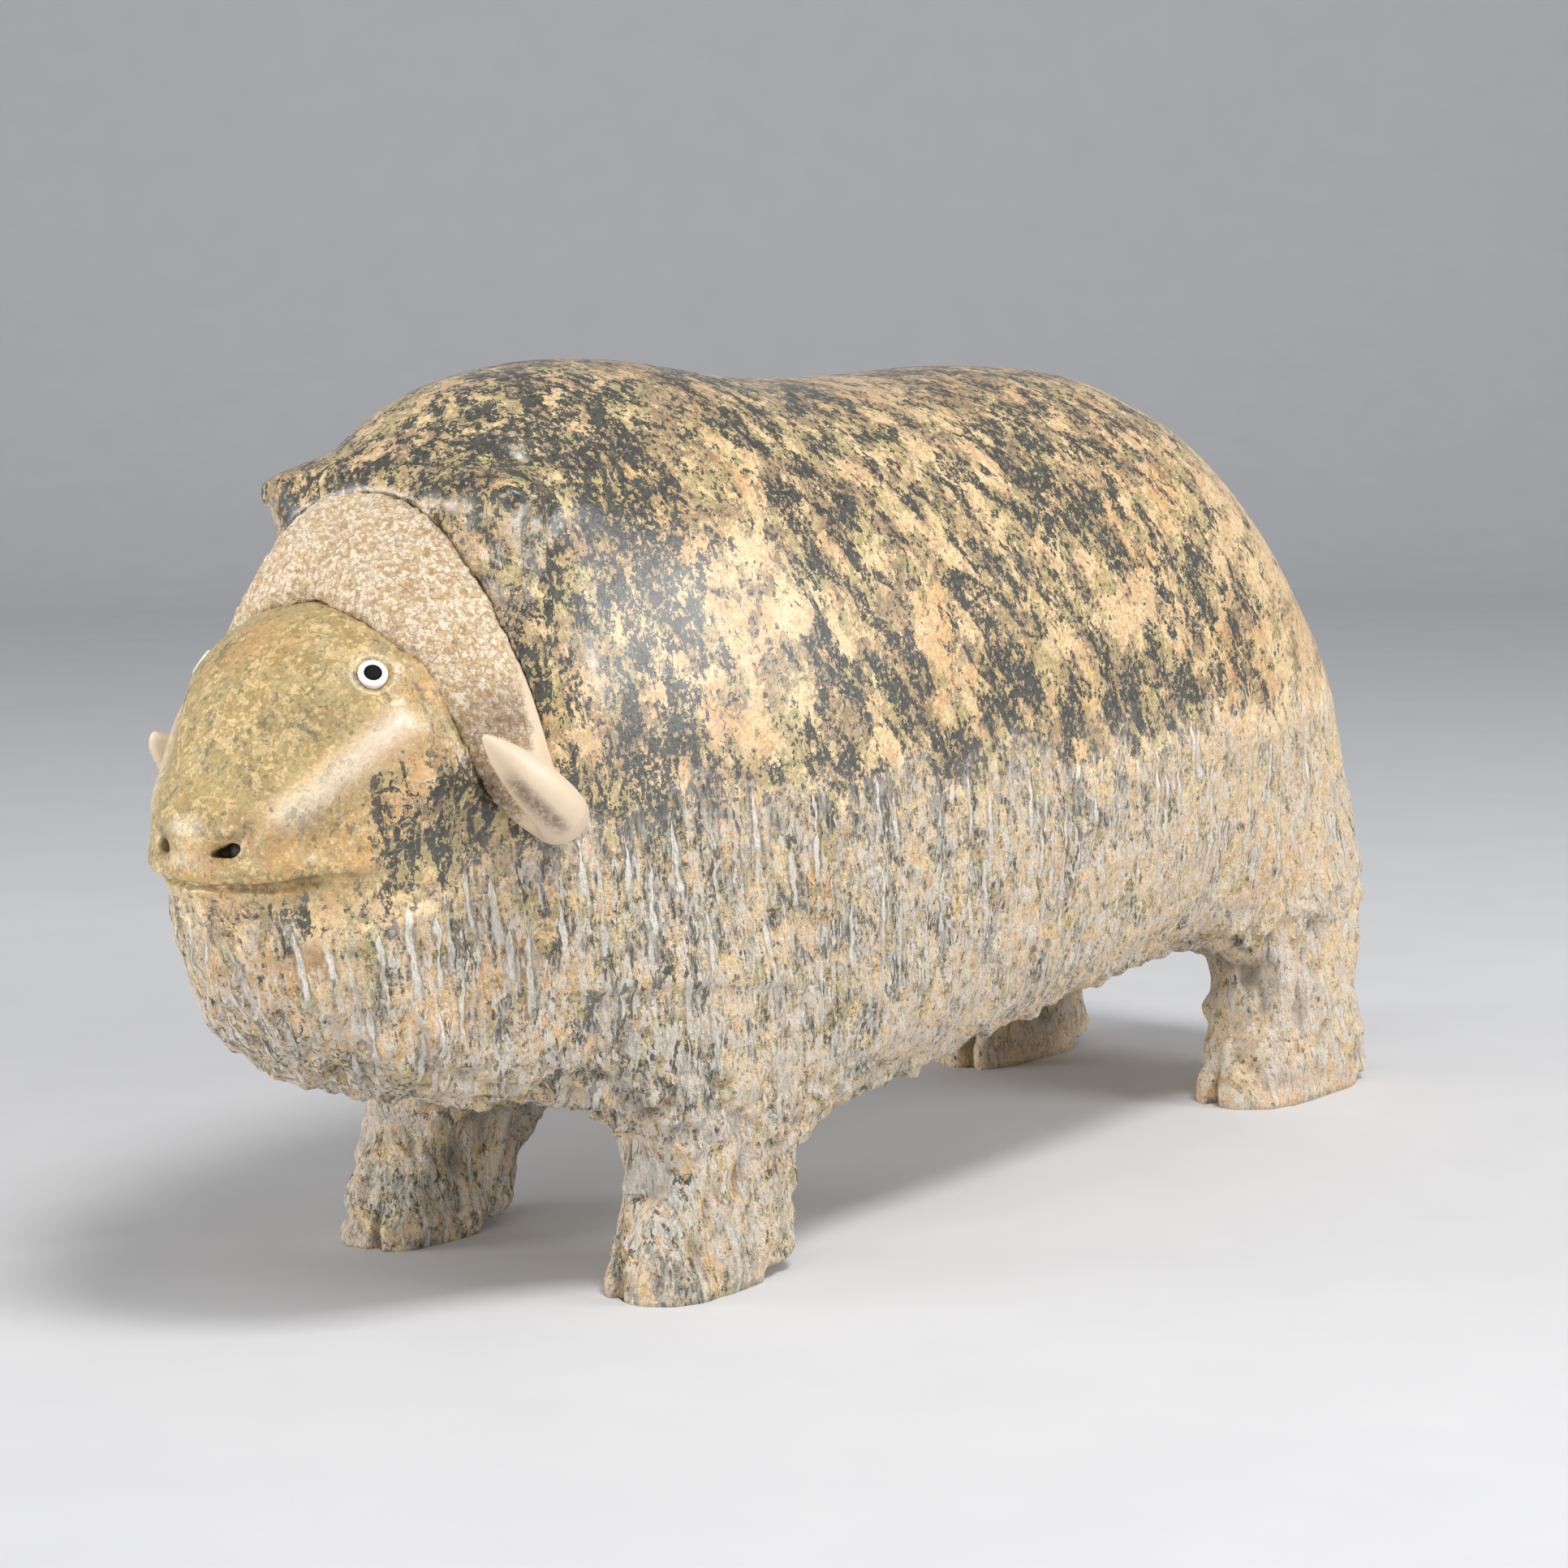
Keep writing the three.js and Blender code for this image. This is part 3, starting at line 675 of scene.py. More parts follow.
    def strokes(self, r: Recipe) -> tuple[Any, Any]:
        """Pale chisel strokes in the coat, each pointed above and in a cell of its own.

        Args:
            r: The recipe to add to.

        Returns:
            1 in the middle of a stroke and 0 outside, and the same for the shade painted on its rims.
        """
        run, fall, pitch = r.painted("run"), r.painted("fall"), self.stroke_pitch
        sheared = r.calc(Op.MULTIPLY_ADD, fall, -self.stroke_lean, run)
        wavy = r.span(r.grain(self.sway), 0.2, 0.8, -0.3 / pitch, 0.3 / pitch)
        across = r.calc(Op.MULTIPLY_ADD, sheared, PAINTED_MM / pitch, wavy)
        down = r.calc(Op.MULTIPLY, fall, PAINTED_MM / self.stroke_length)
        lifted = r.span(r.grain(self.lift), 0.3, 0.7, -0.25, 0.25)
        where = r.add("CombineXYZ", {0: across, 1: r.calc(Op.ADD, down, lifted)})
        parts = {"Vector": where, "Scale": 1.0, "Randomness": 0.85}
        cells = r.add("TexVoronoi", parts, voronoi_dimensions="2D").node.outputs
        chance = r.add("SeparateColor", {0: cells[1]})
        off = r.add("SeparateXYZ", {0: r.add("VectorMath", {0: where, 1: cells[2]}, operation="SUBTRACT")})
        below = off.node.outputs[1]
        width = r.calc(Op.MULTIPLY, r.span(below, -0.42, 0.10, 0.05, 1.0), self.stroke_half / pitch)
        side = r.calc(Op.DIVIDE, r.calc(Op.ABSOLUTE, off), width)
        shown = r.times(r.span(below, 0.46, 0.12), r.span(chance, 0.10, 0.70, 0.15, 1.0))
        shown = r.times(shown, r.times(r.span(fall, 0.0, 0.03), r.span(fall, 0.22, 0.45, 1.0, 0.6)))
        carved = r.times(r.painted("stroke"), 0.4)
        line = r.calc(Op.LARGER, r.times(r.span(side, 1.0, 0.5), shown), carved, clamp=True)
        # The second share is the painted shade along the rims of each stroke.
        return line, r.times(r.span(side, 2.0, 1.2), shown)


@dataclass(frozen=True)
class CaribouAntler:
    """Caribou antler, sawn and filed: crumbly spongy core in front, dense smooth rind behind.

    To the eye: warm cream crumbs with pits and gaps painted brown as shade, then a plain ivory rim and tips
    with a satin sheen.
    """

    rind: str = "#DCC9B0"
    rind_dull: str = "#D6C0A2"
    core: str = "#F8E6CC"
    crumb: str = "#DABD92"
    # Painted shade in the gaps between the crumbs.
    gap: str = "#A07D55"
    # Painted shade in the pits of the core.
    pit_shade: str = "#A98A66"
    # Brown of two spots on the core, and painted shade on the underside of the groove.
    brown: str = "#6F5240"
    ior: float = 1.54
    roughness: float = 0.42
    core_roughness: float = 0.82
    rind_relief: float = 0.00003
    core_relief: float = 0.0006
    gap_relief: float = -1.1
    bump: float = 0.8
    glow: float = 0.08
    glow_reach: Place = (0.004, 0.0025, 0.0015)
    glow_scale: float = 0.6
    crumbs: Mosaic = Mosaic(0.9, 0.9, 2.0)
    mist: Grain = Grain(9.0, 3.0)
    soak: Grain = Grain(1.1, 4.0, 0.75)
    pores: Grain = Grain(0.5, 4.0, 0.75)

    def make(self) -> bpy.types.Material:
        """Builds the antler: rind, spongy core with shade painted in its pits and gaps, brown spots, and
        shade painted brown in the groove.
        """
        r = Recipe("caribou_antler")
        spongy = r.painted("spongy")
        gap, chance, _ = r.mosaic(self.crumbs)
        core = r.mix(r.span(chance, 0.1, 0.7), self.crumb, self.core)
        # Painted shade in the gaps between the crumbs.
        core = r.mix(r.span(gap, 0.42, 0.75, 0.0, 0.62), core, self.gap)
        rind = r.mix(r.span(r.grain(self.mist), 0.3, 0.7), self.rind, self.rind_dull)
        # Painted shade in the pits.
        colour = r.mix(r.times(r.painted("pit_shade"), 0.2), r.mix(spongy, rind, core), self.pit_shade)
        # Brown spots, and painted shade on the underside of the groove.
        marked_brown = r.times(r.painted("brown_marks"), r.span(r.grain(self.soak), 0.34, 0.58, 0.35, 1.0))
        colour = r.mix(marked_brown, colour, self.brown)
        rough = r.span(spongy, 0.0, 1.0, self.roughness, self.core_roughness)
        sponge = r.calc(Op.MULTIPLY_ADD, gap, self.gap_relief, r.grain(self.pores))
        height = r.calc(Op.MULTIPLY, sponge, r.span(spongy, 0.0, 1.0, self.rind_relief, self.core_relief))
        return r.surface({
            "Base Color": colour, "Roughness": rough, "IOR": self.ior, "Normal": r.bump(height, self.bump),
            "Subsurface Weight": self.glow, "Subsurface Radius": self.glow_reach,
            "Subsurface Scale": self.glow_scale,
        })


@dataclass(frozen=True)
class PlainMatter:
    """A material that is nearly the same all over, with faint clouds of a second tone."""

    name: str
    tone: str
    cloud: str
    look: Grain
    ends: tuple[float, float]
    roughness: float
    ior: float

    def make(self) -> bpy.types.Material:
        """Builds the material."""
        r = Recipe(self.name)
        colour = r.mix(r.span(r.grain(self.look), *self.ends), self.tone, self.cloud)
        return r.surface({"Base Color": colour, "Roughness": self.roughness, "IOR": self.ior})


# White bone, polished flush. To the eye: even, slightly warm white with a soft sheen.
POLISHED_BONE = PlainMatter("polished_bone", "#F2EFE8", "#E6E0D2", Grain(1.0, 3.0), (0.35, 0.7), 0.3, 1.54)
# Black fine-grained slate, rubbed smooth. To the eye: near black and almost without a glint.
BLACK_ARGILLITE = PlainMatter(
    "black_argillite", "#050505", "#121112", Grain(0.4, 3.0), (0.45, 0.8), 0.55, 1.2
)


@dataclass(frozen=True)
class StudioPaper:
    """Matt seamless paper. To the eye: pale grey with a hardly visible 30 mm unevenness."""

    tone: str = "#D9D9DA"
    cloud: str = "#D2D2D4"
    look: Grain = Grain(30.0)
    roughness: float = 0.9

    def make(self) -> bpy.types.Material:
        """Builds the paper."""
        r = Recipe("studio_paper")
        colour = r.mix(r.grain(self.look), self.tone, self.cloud)
        return r.surface({"Base Color": colour, "Roughness": self.roughness})


# The carving's own places, in millimetres in the row frame


@dataclass(frozen=True)
class Layout:
    """Where the carving's features are, and where its polish ends."""

    mouth_z: float = 84.7
    mouth_half: float = 22.5
    mouth_rise: float = 1.4
    nostril: Place = (7.4, -172.6, 91.2)
    slit: Line = ((9.0, -172.6, 91.8), (13.5, -169.0, 97.0))
    ridge: Line = ((26.4, -148.3, 111.6), (16.6, -165.8, 97.4))
    ear: Place = (26.0, -121.0, 147.0)
    hollow: Place = (31.0, -127.0, 139.5)
    feet: tuple[Place, ...] = (
        (33.0, -77.2, 22.0), (-36.5, -77.2, 20.5), (37.0, 139.3, 28.5), (-40.0, 140.3, 26.0),
    )
    rump_y: float = 140.0
    rump_round: float = 45.0
    cheek_y: float = -130.0
    cheek_round: float = 34.0
    edge_y: tuple[float, ...] = (-175.0, -165.0, -150.0, -132.0, -120.0, -84.0, 150.0, 190.0)
    edge_z: tuple[float, ...] = (77.0, 78.5, 82.0, 89.0, 92.0, 94.0, 94.0, 92.0)
    edge_wave: float = 3.0
    hem_y: tuple[float, ...] = (-171.0, -116.0, -71.0, -37.0, 0.0, 31.0, 89.0, 139.0, 190.0)
    hem_z: tuple[float, ...] = (45.0, 41.0, 32.0, 27.0, 28.5, 33.0, 38.5, 45.0, 48.0)

    def along(self, points: np.ndarray) -> np.ndarray:
        """Distance round the outside in plan, from the chin to the tail on either side.

        Args:
            points: Positions in millimetres.

        Returns:
            Y on the flanks, carried on round the rump and round the head.
        """
        x, y = np.maximum(np.abs(points[:, 0]), 1.0), points[:, 1]
        rear = self.rump_y + self.rump_round * np.arctan2(np.maximum(y - self.rump_y, 0.0), x)
        fore = self.cheek_y - self.cheek_round * np.arctan2(np.maximum(self.cheek_y - y, 0.0), x)
        return np.where(y > self.rump_y, rear, np.where(y < self.cheek_y, fore, y))

    def level(self, points: np.ndarray) -> np.ndarray:
        """Mean height at which the polish ends."""
        return np.interp(points[:, 1], self.edge_y, self.edge_z)

    def edge(self, points: np.ndarray) -> np.ndarray:
        """Height at which the strokes begin and the polish ends, ragged from stroke to stroke."""
        level, side = self.level(points), np.sign(points[:, 0]) * 40.0
        line = np.stack([self.along(points), side, np.zeros(len(points))], axis=1)
        for seed, wide in ((3, 5.0), (4, 17.0)):
            level = level + self.edge_wave * noise(line, (wide, 30.0, 9.0), seed)
        return level

    def hem(self, points: np.ndarray) -> np.ndarray:
        """Height above the lower edge of the coat."""
        return points[:, 2] - np.interp(points[:, 1], self.hem_y, self.hem_z)

    def over_mouth(self, points: np.ndarray) -> np.ndarray:
        """Height above the line of the mouth, which rises a little to its corners."""
        return points[:, 2] - self.mouth_z - self.mouth_rise * (points[:, 0] / self.mouth_half) ** 2

    def mirrored(self, points: np.ndarray, spot: Place) -> np.ndarray:
        """Distance from a spot or its twin on the other side."""
        return np.linalg.norm(folded(points) - np.array(spot), axis=1)

    def ridge_gap(self, points: np.ndarray) -> tuple[np.ndarray, np.ndarray]:
        """Distance from the cheek ridge on either side, and how far down it each point lies."""
        return line_gap(folded(points), self.ridge)


@dataclass(frozen=True)
class Row:
    """One row of strokes: millimetres down to its start, and shares for its spacing, length and strength."""

    drop: float
    pitch: float
    length: float
    strength: float


@dataclass
class Strokes:
    """Rows of chisel strokes that start at the edge of the polish and run down the coat."""

    layout: Layout
    pitch: float = 7.6
    half_width: float = 1.0
    wobble: float = 0.12
    seed: int = 11
    start: float = -186.0
    end: float = 215.0
    rows: tuple[Row, ...] = (
        Row(-3.0, 1.0, 1.0, 1.0), Row(14.0, 0.8, 0.9, 0.75),
        Row(30.0, 0.7, 0.7, 0.55), Row(48.0, 0.7, 0.8, 0.6),
    )

    def depth(self, points: np.ndarray, normals: np.ndarray) -> np.ndarray:
        """How deep in a stroke each point is.

        Args:
            points: Positions in millimetres.
            normals: Their unit normals.

        Returns:
            0 outside the strokes and up to 1 in the middle of one.
        """
        chance = np.random.default_rng(self.seed)
        run, z = self.layout.along(points), points[:, 2]
        upright = smoothstep(0.75, 0.35, np.abs(normals[:, 2]))
        total = np.zeros(len(points))
        for side in (1, -1):
            mine = (points[:, 0] * side > -1.0) & (upright > 0) & (z < 105.0)
            spots, fall = run[mine], self.layout.level(points[mine]) - z[mine]
            share = np.zeros(mine.sum())
            for row in self.rows:
                for start in np.arange(self.start, self.end, self.pitch * row.pitch):
                    middle = start + chance.uniform(-3.5, 3.5)
                    top = -row.drop + chance.uniform(-4.0, 6.0)
                    length = chance.uniform(14.0, 34.0) * row.length
                    lean, wide = chance.uniform(0.02, 0.2), self.half_width * chance.uniform(0.6, 1.3)
                    strength = chance.uniform(0.35, 1.0) * row.strength
                    down = fall + top
                    off = spots - middle - lean * down
                    near = (np.abs(off) < 3.0 * wide) & (down > -2.0) & (down < length)
                    t = down[near] / length
                    fade = smoothstep(-0.02, 0.06, t) * smoothstep(1.0, 0.35, t)
                    wobble = off[near] + self.wobble * np.sin(down[near] * 0.6 + middle)
                    cut = strength * fade * bell(wobble, wide * smoothstep(-0.1, 0.45, t) + 0.15)
                    share[near] = np.maximum(share[near], cut)
            total[mine] = np.maximum(total[mine], share)
        return total * upright


@dataclass
class FaceCarving:
    """What the carver cut in the face: mouth, nostrils, cheek ridges and the crease behind them."""

    layout: Layout
    ridge_high: float = 2.2
    ridge_half: float = 3.2
    far_ridge: float = 0.35
    crease: Line = ((33.0, -136.0, 108.0), (30.0, -131.0, 74.0))
    # Hollows beside the ridge, under it, along the jaw and over it, each with its depth and half width.
    hollows: tuple[tuple[Line, float, float], ...] = (
        (((31.0, -146.0, 105.5), (19.5, -163.8, 92.5)), 2.6, 4.6),
        (((32.0, -139.0, 96.0), (22.0, -160.0, 87.0)), 1.3, 6.0),
        (((23.0, -152.0, 114.5), (15.0, -164.5, 103.8)), 1.0, 3.6),
    )
    nose: Patch = ((3.0, -173.0, 96.0), 8.0)
    nostril_rim: Patch = ((8.5, -171.0, 94.5), 5.0)

    def height(self, points: np.ndarray) -> np.ndarray:
        """Soft forms of the face, in millimetres outwards."""
        twin = folded(points)
        gap, _ = self.layout.ridge_gap(points)
        form = self.ridge_high * bell(gap, self.ridge_half) * np.where(points[:, 0] < 0, self.far_ridge, 1.0)
        for line, deep, half in self.hollows:
            form -= deep * bell(line_gap(twin, line)[0], half)
        form += 1.0 * blob(twin, *self.nose) + 0.5 * blob(twin, *self.nostril_rim)
        over = self.layout.over_mouth(points)
        muzzle = smoothstep(-148.0, -156.0, points[:, 1])
        form += muzzle * 0.8 * smoothstep(0.0, 1.2, over) * smoothstep(6.5, 2.0, over)
        form -= muzzle * 1.2 * smoothstep(0.3, -0.6, over) * smoothstep(-11.0, -3.5, over)
        gap, _ = line_gap(twin, self.crease)
        form -= 0.9 * bell(gap, 2.6)
        return form * np.maximum(smoothstep(-124.0, -136.0, points[:, 1]), smoothstep(5.0, 0.0, gap))

    def cuts(self, points: np.ndarray) -> np.ndarray:
        """Crisp cuts of the mouth and the nostrils, in millimetres inwards."""
        over, beyond = self.layout.over_mouth(points), np.abs(points[:, 0]) - self.layout.mouth_half
        mouth = 1.6 * bell(np.abs(over), 0.75, 3) * smoothstep(1.0, -5.0, beyond)
        twin, nostril = folded(points), self.layout.nostril
        dx = twin[:, 0] - nostril[0]
        dz = twin[:, 2] - nostril[2] - 0.25 * dx
        small = np.where(points[:, 0] < 0, 0.8, 1.0)
        tall = 0.65 + 0.45 * smoothstep(-2.0, 1.5, dx)
        hole = 2.8 * small * bell(np.hypot(dx / (2.1 * small), dz / tall), power=4)
        gap, share = line_gap(twin, self.layout.slit)
        groove = 1.5 * (1.0 - 0.7 * share) * bell(gap, 1.05 - 0.45 * share)
        return np.where(points[:, 1] < -150.0, np.maximum(np.maximum(mouth, hole), groove), 0.0)


@dataclass
class ToeCarving:
    """The cleft between the two toes of each foot."""

    layout: Layout
    deep: float = 1.7
    half_width: float = 1.15
    top: float = 12.0

    def cuts(self, points: np.ndarray, normals: np.ndarray) -> np.ndarray:
        """Depth of the clefts, in millimetres inwards.

        Args:
            points: Positions in millimetres.
            normals: Their unit normals.

        Returns:
            0 away from the clefts.
        """
        total = np.zeros(len(points))
        for x, y, half in self.layout.feet:
            side, back, z = math.copysign(1.0, x), points[:, 1] - (y - half), points[:, 2]
            line = x - 3.5 * side + 0.05 * z * side
            wide = self.half_width * smoothstep(self.top + 4.0, -6.0, z) + 0.3
            here = smoothstep(13.0, 7.0, back) * (back > -6.0)
            cut = bell(points[:, 0] - line, wide) * smoothstep(self.top, 4.0, z)
            cut *= smoothstep(-0.15, -0.5, normals[:, 1])
            total = np.maximum(total, self.deep * cut * here)
        return total


@dataclass
class StoneMuskox:
    """The one block of stone: body, head, legs and all their tool marks."""

    layout: Layout
    voxel: float = 0.85
    most_triangles: int = 195_000
    facet_rounds: int = 85
    # A low step in the coat on the left, behind the beard: its two ends.
    ledge_y: tuple[float, float] = (-114.0, -68.0)
    ledge_z: tuple[float, float] = (62.0, 57.0)
    stroke_deep: float = 0.4
    # Where the dark grains crowd, where they are few, and where the ground is rusty.
    dense: tuple[Patch, ...] = (
        ((47.0, -50.0, 138.0), 18.0), ((50.0, -40.0, 112.0), 14.0), ((38.6, 23.3, 152.1), 18.0),
        ((51.0, 0.0, 128.0), 16.0), ((53.5, 0.5, 104.0), 12.0), ((49.0, 34.7, 138.5), 14.0),
        ((-50.0, -30.0, 120.0), 26.0), ((-46.0, 60.0, 140.0), 22.0), ((20.0, -20.0, 165.0), 20.0),
    )
    clear: tuple[Patch, ...] = (
        ((53.0, -22.0, 118.0), 15.0), ((54.0, -24.0, 105.0), 13.0), ((40.0, -68.0, 152.0), 12.0),
        ((54.5, 14.0, 114.0), 12.0), ((52.0, 42.0, 120.0), 14.0), ((48.0, -82.0, 104.0), 13.0),
        ((-52.0, 10.0, 112.0), 18.0), ((-44.0, -70.0, 128.0), 18.0),
    )
    warm: tuple[Patch, ...] = (
        ((52.0, -23.0, 124.0), 13.0), ((54.0, -25.0, 106.0), 13.0), ((36.0, -71.0, 155.0), 10.0),
        ((54.5, 25.0, 101.0), 13.0), ((27.0, -148.0, 108.0), 9.0), ((14.0, -168.0, 88.5), 10.0),
        ((26.0, -155.0, 93.0), 11.0), ((2.0, -172.0, 88.0), 8.0), ((18.0, -165.0, 78.0), 10.0),
        ((28.0, -138.0, 62.0), 12.0), ((3.0, -166.0, 60.0), 14.0), ((24.0, -143.0, 116.0), 7.0),
        ((48.0, -84.0, 100.0), 14.0), ((14.0, -160.0, 72.0), 12.0), ((36.0, -125.0, 66.0), 12.0),
        ((48.0, 70.0, 150.0), 22.0), ((54.0, 90.0, 105.0), 20.0), ((46.0, -80.0, 124.0), 13.0),
        ((47.0, -60.0, 70.0), 14.0), ((53.0, 20.0, 62.0), 13.0), ((-50.0, 20.0, 118.0), 24.0),
        ((-48.0, -60.0, 110.0), 22.0), ((0.0, 175.0, 100.0), 30.0), ((20.0, 60.0, 168.0), 24.0),
    )
    # How dark the polished stone and the coat are along Y.
    dark_rear: tuple[tuple[float, ...], tuple[float, ...]] = (
        (-60.0, 40.0, 85.0, 120.0, 185.0), (1.0, 0.95, 0.70, 0.22, 0.10),
    )
    dark_skirt: tuple[tuple[float, ...], tuple[float, ...]] = (
        (-175.0, -150.0, -130.0, -50.0, 30.0, 100.0, 185.0), (0.7, 0.75, 0.95, 0.8, 0.5, 0.2, 0.06),
    )
    scratches: tuple[Line, ...] = (
        ((13.7, -127.9, 148.0), (23.2, -125.7, 148.1)), ((29.4, -121.7, 144.1), (31.9, -120.5, 147.6)),
        ((31.0, -117.5, 145.3), (22.7, -111.9, 156.4)), ((37.5, -113.0, 124.0), (40.0, -109.0, 113.0)),
    )

    def fine_zone(self, points: np.ndarray) -> np.ndarray:
        """True on the muzzle and on the toes, where the cuts are small."""
        muzzle = (points[:, 1] < -154.0) & (points[:, 2] > 77.0) & (points[:, 2] < 101.0)
        toes = np.zeros(len(points), bool)
        for x, y, half in self.layout.feet:
            back = points[:, 1] - (y - half)
            toes |= (np.abs(points[:, 0] - x) < 9.0) & (back > -6.0) & (back < 12.0) & (points[:, 2] < 18.0)
        return muzzle | toes

    def facet_share(self, points: np.ndarray, gap: np.ndarray) -> np.ndarray:
        """How much the solid's facets are eased at each point.

        Args:
            points: Positions in millimetres.
            gap: Distance from the inlaid pieces.

        Returns:
            1 on the plain flanks, down to 0 at the crisp cuts.
        """
        y, z = points[:, 1], points[:, 2]
        ear = self.layout.mirrored(points, self.layout.ear)
        share = 0.15 + 0.85 * smoothstep(-118.0, -92.0, y) * smoothstep(26.0, 44.0, z)
        # Near the ears, the inlays and the soles less is eased: least share, near end, far end, distance.
        for least, near, far, away in ((0.05, 12.0, 26.0, ear), (0.02, 2.0, 9.0, gap), (0.08, 2.0, 20.0, z)):
            share = np.minimum(share, least + (1.0 - least) * smoothstep(near, far, away))
        return share

    def polish(self, points: np.ndarray) -> np.ndarray:
        """1 where the stone is rubbed smooth and 0 where it is as the chisel left it."""
        over = points[:, 2] - self.layout.edge(points)
        over += 5.0 * layered(points, (5.0, 5.0, 7.0), 9)
        share = 0.35 * smoothstep(-14.0, -4.0, over) + 0.65 * smoothstep(-7.0, 3.0, over)
        hollow = self.layout.mirrored(points, self.layout.hollow)
        share *= 0.35 + 0.65 * smoothstep(6.0, 11.0, hollow + 2.0 * noise(points, (3.0, 3.0, 3.0), 8))
        toe = smoothstep(9.0, 3.0, points[:, 2]) * 0.45
        return np.maximum(share, toe)

    def relief(self, points: np.ndarray, polish: np.ndarray, strokes: np.ndarray) -> np.ndarray:
        """Height of the tool marks over the eased solid.

        Args:
            points: Positions in millimetres.
            polish: Share of polish.
            strokes: Share of stroke.

        Returns:
            Millimetres outwards.
        """
        y, z = points[:, 1], points[:, 2]
        dry, hem = 1.0 - polish, self.layout.hem(points)
        beard = smoothstep(-118.0, -132.0, y) * smoothstep(84.0, 76.0, z) * smoothstep(30.0, 40.0, z)
        leg = smoothstep(2.0, -6.0, hem) * smoothstep(0.5, 6.0, z)
        edge = smoothstep(9.0, 3.0, hem) * smoothstep(-9.0, -2.0, hem)
        height = 0.16 * noise(points, (22.0, 22.0, 22.0), 21) * polish
        # Where, how high in millimetres, size of the lumps, seed and layers.
        marks = (
            (dry, 0.5, (8.0, 8.0, 10.0), 22, 3), (dry, 0.5, (2.6, 2.6, 3.2), 25, 2),
            (dry, 0.42, (2.6, 2.6, 16.0), 27, 1), (beard, 1.1, (7.0, 7.0, 8.0), 31, 3),
            (beard, 0.55, (2.4, 2.4, 3.4), 33, 1), (leg, 1.25, (6.0, 6.0, 11.0), 35, 3),
            (leg, 0.8, (2.4, 2.4, 4.2), 37, 1), (edge, 2.2, (6.0, 6.0, 5.0), 39, 3),
            (edge, 1.0, (2.6, 2.6, 2.6), 41, 1),
        )
        for where, high, size, seed, layers in marks:
            lumps = layered(points, size, seed, layers) if layers > 1 else noise(points, size, seed)
            height += where * high * lumps
        height += 0.4 * edge
        (low, high), (front_z, rear_z) = self.ledge_y, self.ledge_z
        line = front_z + (rear_z - front_z) * (y - low) / (high - low)
        over = z - line - 1.5 * noise(points, (9.0, 9.0, 9.0), 43)
        span = smoothstep(low - 6.0, low + 6.0, y) * smoothstep(high + 8.0, high - 8.0, y)
        height += 1.1 * span * (points[:, 0] > 0) * smoothstep(-1.2, 0.8, over) * smoothstep(14.0, 2.0, over)
        height -= self.stroke_deep * strokes * dry
        return height

    def scratches_and_ridge_sheen(self, points: np.ndarray) -> np.ndarray:
        """1 along the scratches in the mane and on the neck, and less along the cheek ridge: pale wear that
        is also a painted highlight.
        """
        total = np.zeros(len(points))
        for line in self.scratches:
            total = np.maximum(total, smoothstep(0.9, 0.2, line_gap(points, line)[0]))
        gap, share = self.layout.ridge_gap(points)
        # Pale wear along the cheek ridge that also stands for its highlight: a painted highlight.
        painted_light = (0.5 - 0.25 * share) * smoothstep(4.5, 0.5, gap + 1.2 * layered(points, (3.0, 3.0, 3.0), 57))
        return np.maximum(total, painted_light)

    def darkness(self, points: np.ndarray) -> np.ndarray:
        """How thickly the dark grains lie, from the shoulders, where they crowd, to the rump."""
        y, z = points[:, 1], points[:, 2]
        upper = smoothstep(86.0, 104.0, z)
        share = upper * np.interp(y, *self.dark_rear) + (1.0 - upper) * np.interp(y, *self.dark_skirt)
        share += 0.42 * layered(points, (34.0, 34.0, 28.0), 53) * smoothstep(0.1, 0.5, share)
        share += 0.55 * blob(points, (34.0, -112.0, 150.0), 34.0)
        share += 0.5 * smoothstep(86.0, 92.0, z) * smoothstep(110.0, 98.0, z) * smoothstep(130.0, 60.0, y)
        share += 0.25 * smoothstep(-30.0, -60.0, y) * smoothstep(135.0, 150.0, z)
        for centre, reach in self.dense:
            share += 0.5 * blob(points, centre, reach)
        for centre, reach in self.clear:
            share -= 0.9 * blob(points, centre, reach)
        face = self.face(points)
        share = share * (1.0 - face) + 0.42 * face
        # Dark grains crowd under the cheek ridges: partly real specks and partly painted shade below the
        # ridge.
        share = np.maximum(share, 1.45 * blob(folded(points), (31.0, -141.0, 95.0), 22.0))
        share -= 1.2 * smoothstep(6.5, 2.0, self.layout.ridge_gap(points)[0])
        share -= 0.7 * blob(folded(points), self.layout.hollow, 12.0)
        return np.clip(share, 0.0, 2.0)

    def face(self, points: np.ndarray) -> np.ndarray:
        """1 on the face plate in front of the antler, less under the cheek ridge."""
        plate = smoothstep(-126.0, -138.0, points[:, 1]) * smoothstep(78.0, 86.0, points[:, 2])
        under = smoothstep(22.0, 27.5, np.abs(points[:, 0])) * smoothstep(110.0, 103.0, points[:, 2])
        ridge = smoothstep(6.0, 1.5, self.layout.ridge_gap(points)[0])
        return plate * (1.0 - 0.9 * under) * (1.0 - 0.75 * ridge)

    def warmth(self, points: np.ndarray) -> np.ndarray:
        """Where the ground turns to orange ochre."""
        total = 0.14 + 0.6 * smoothstep(0.1, 0.6, layered(points, (22.0, 22.0, 28.0), 51))
        for centre, reach in self.warm:
            total = np.maximum(total, 0.95 * blob(points, centre, reach * 1.5))
        return total

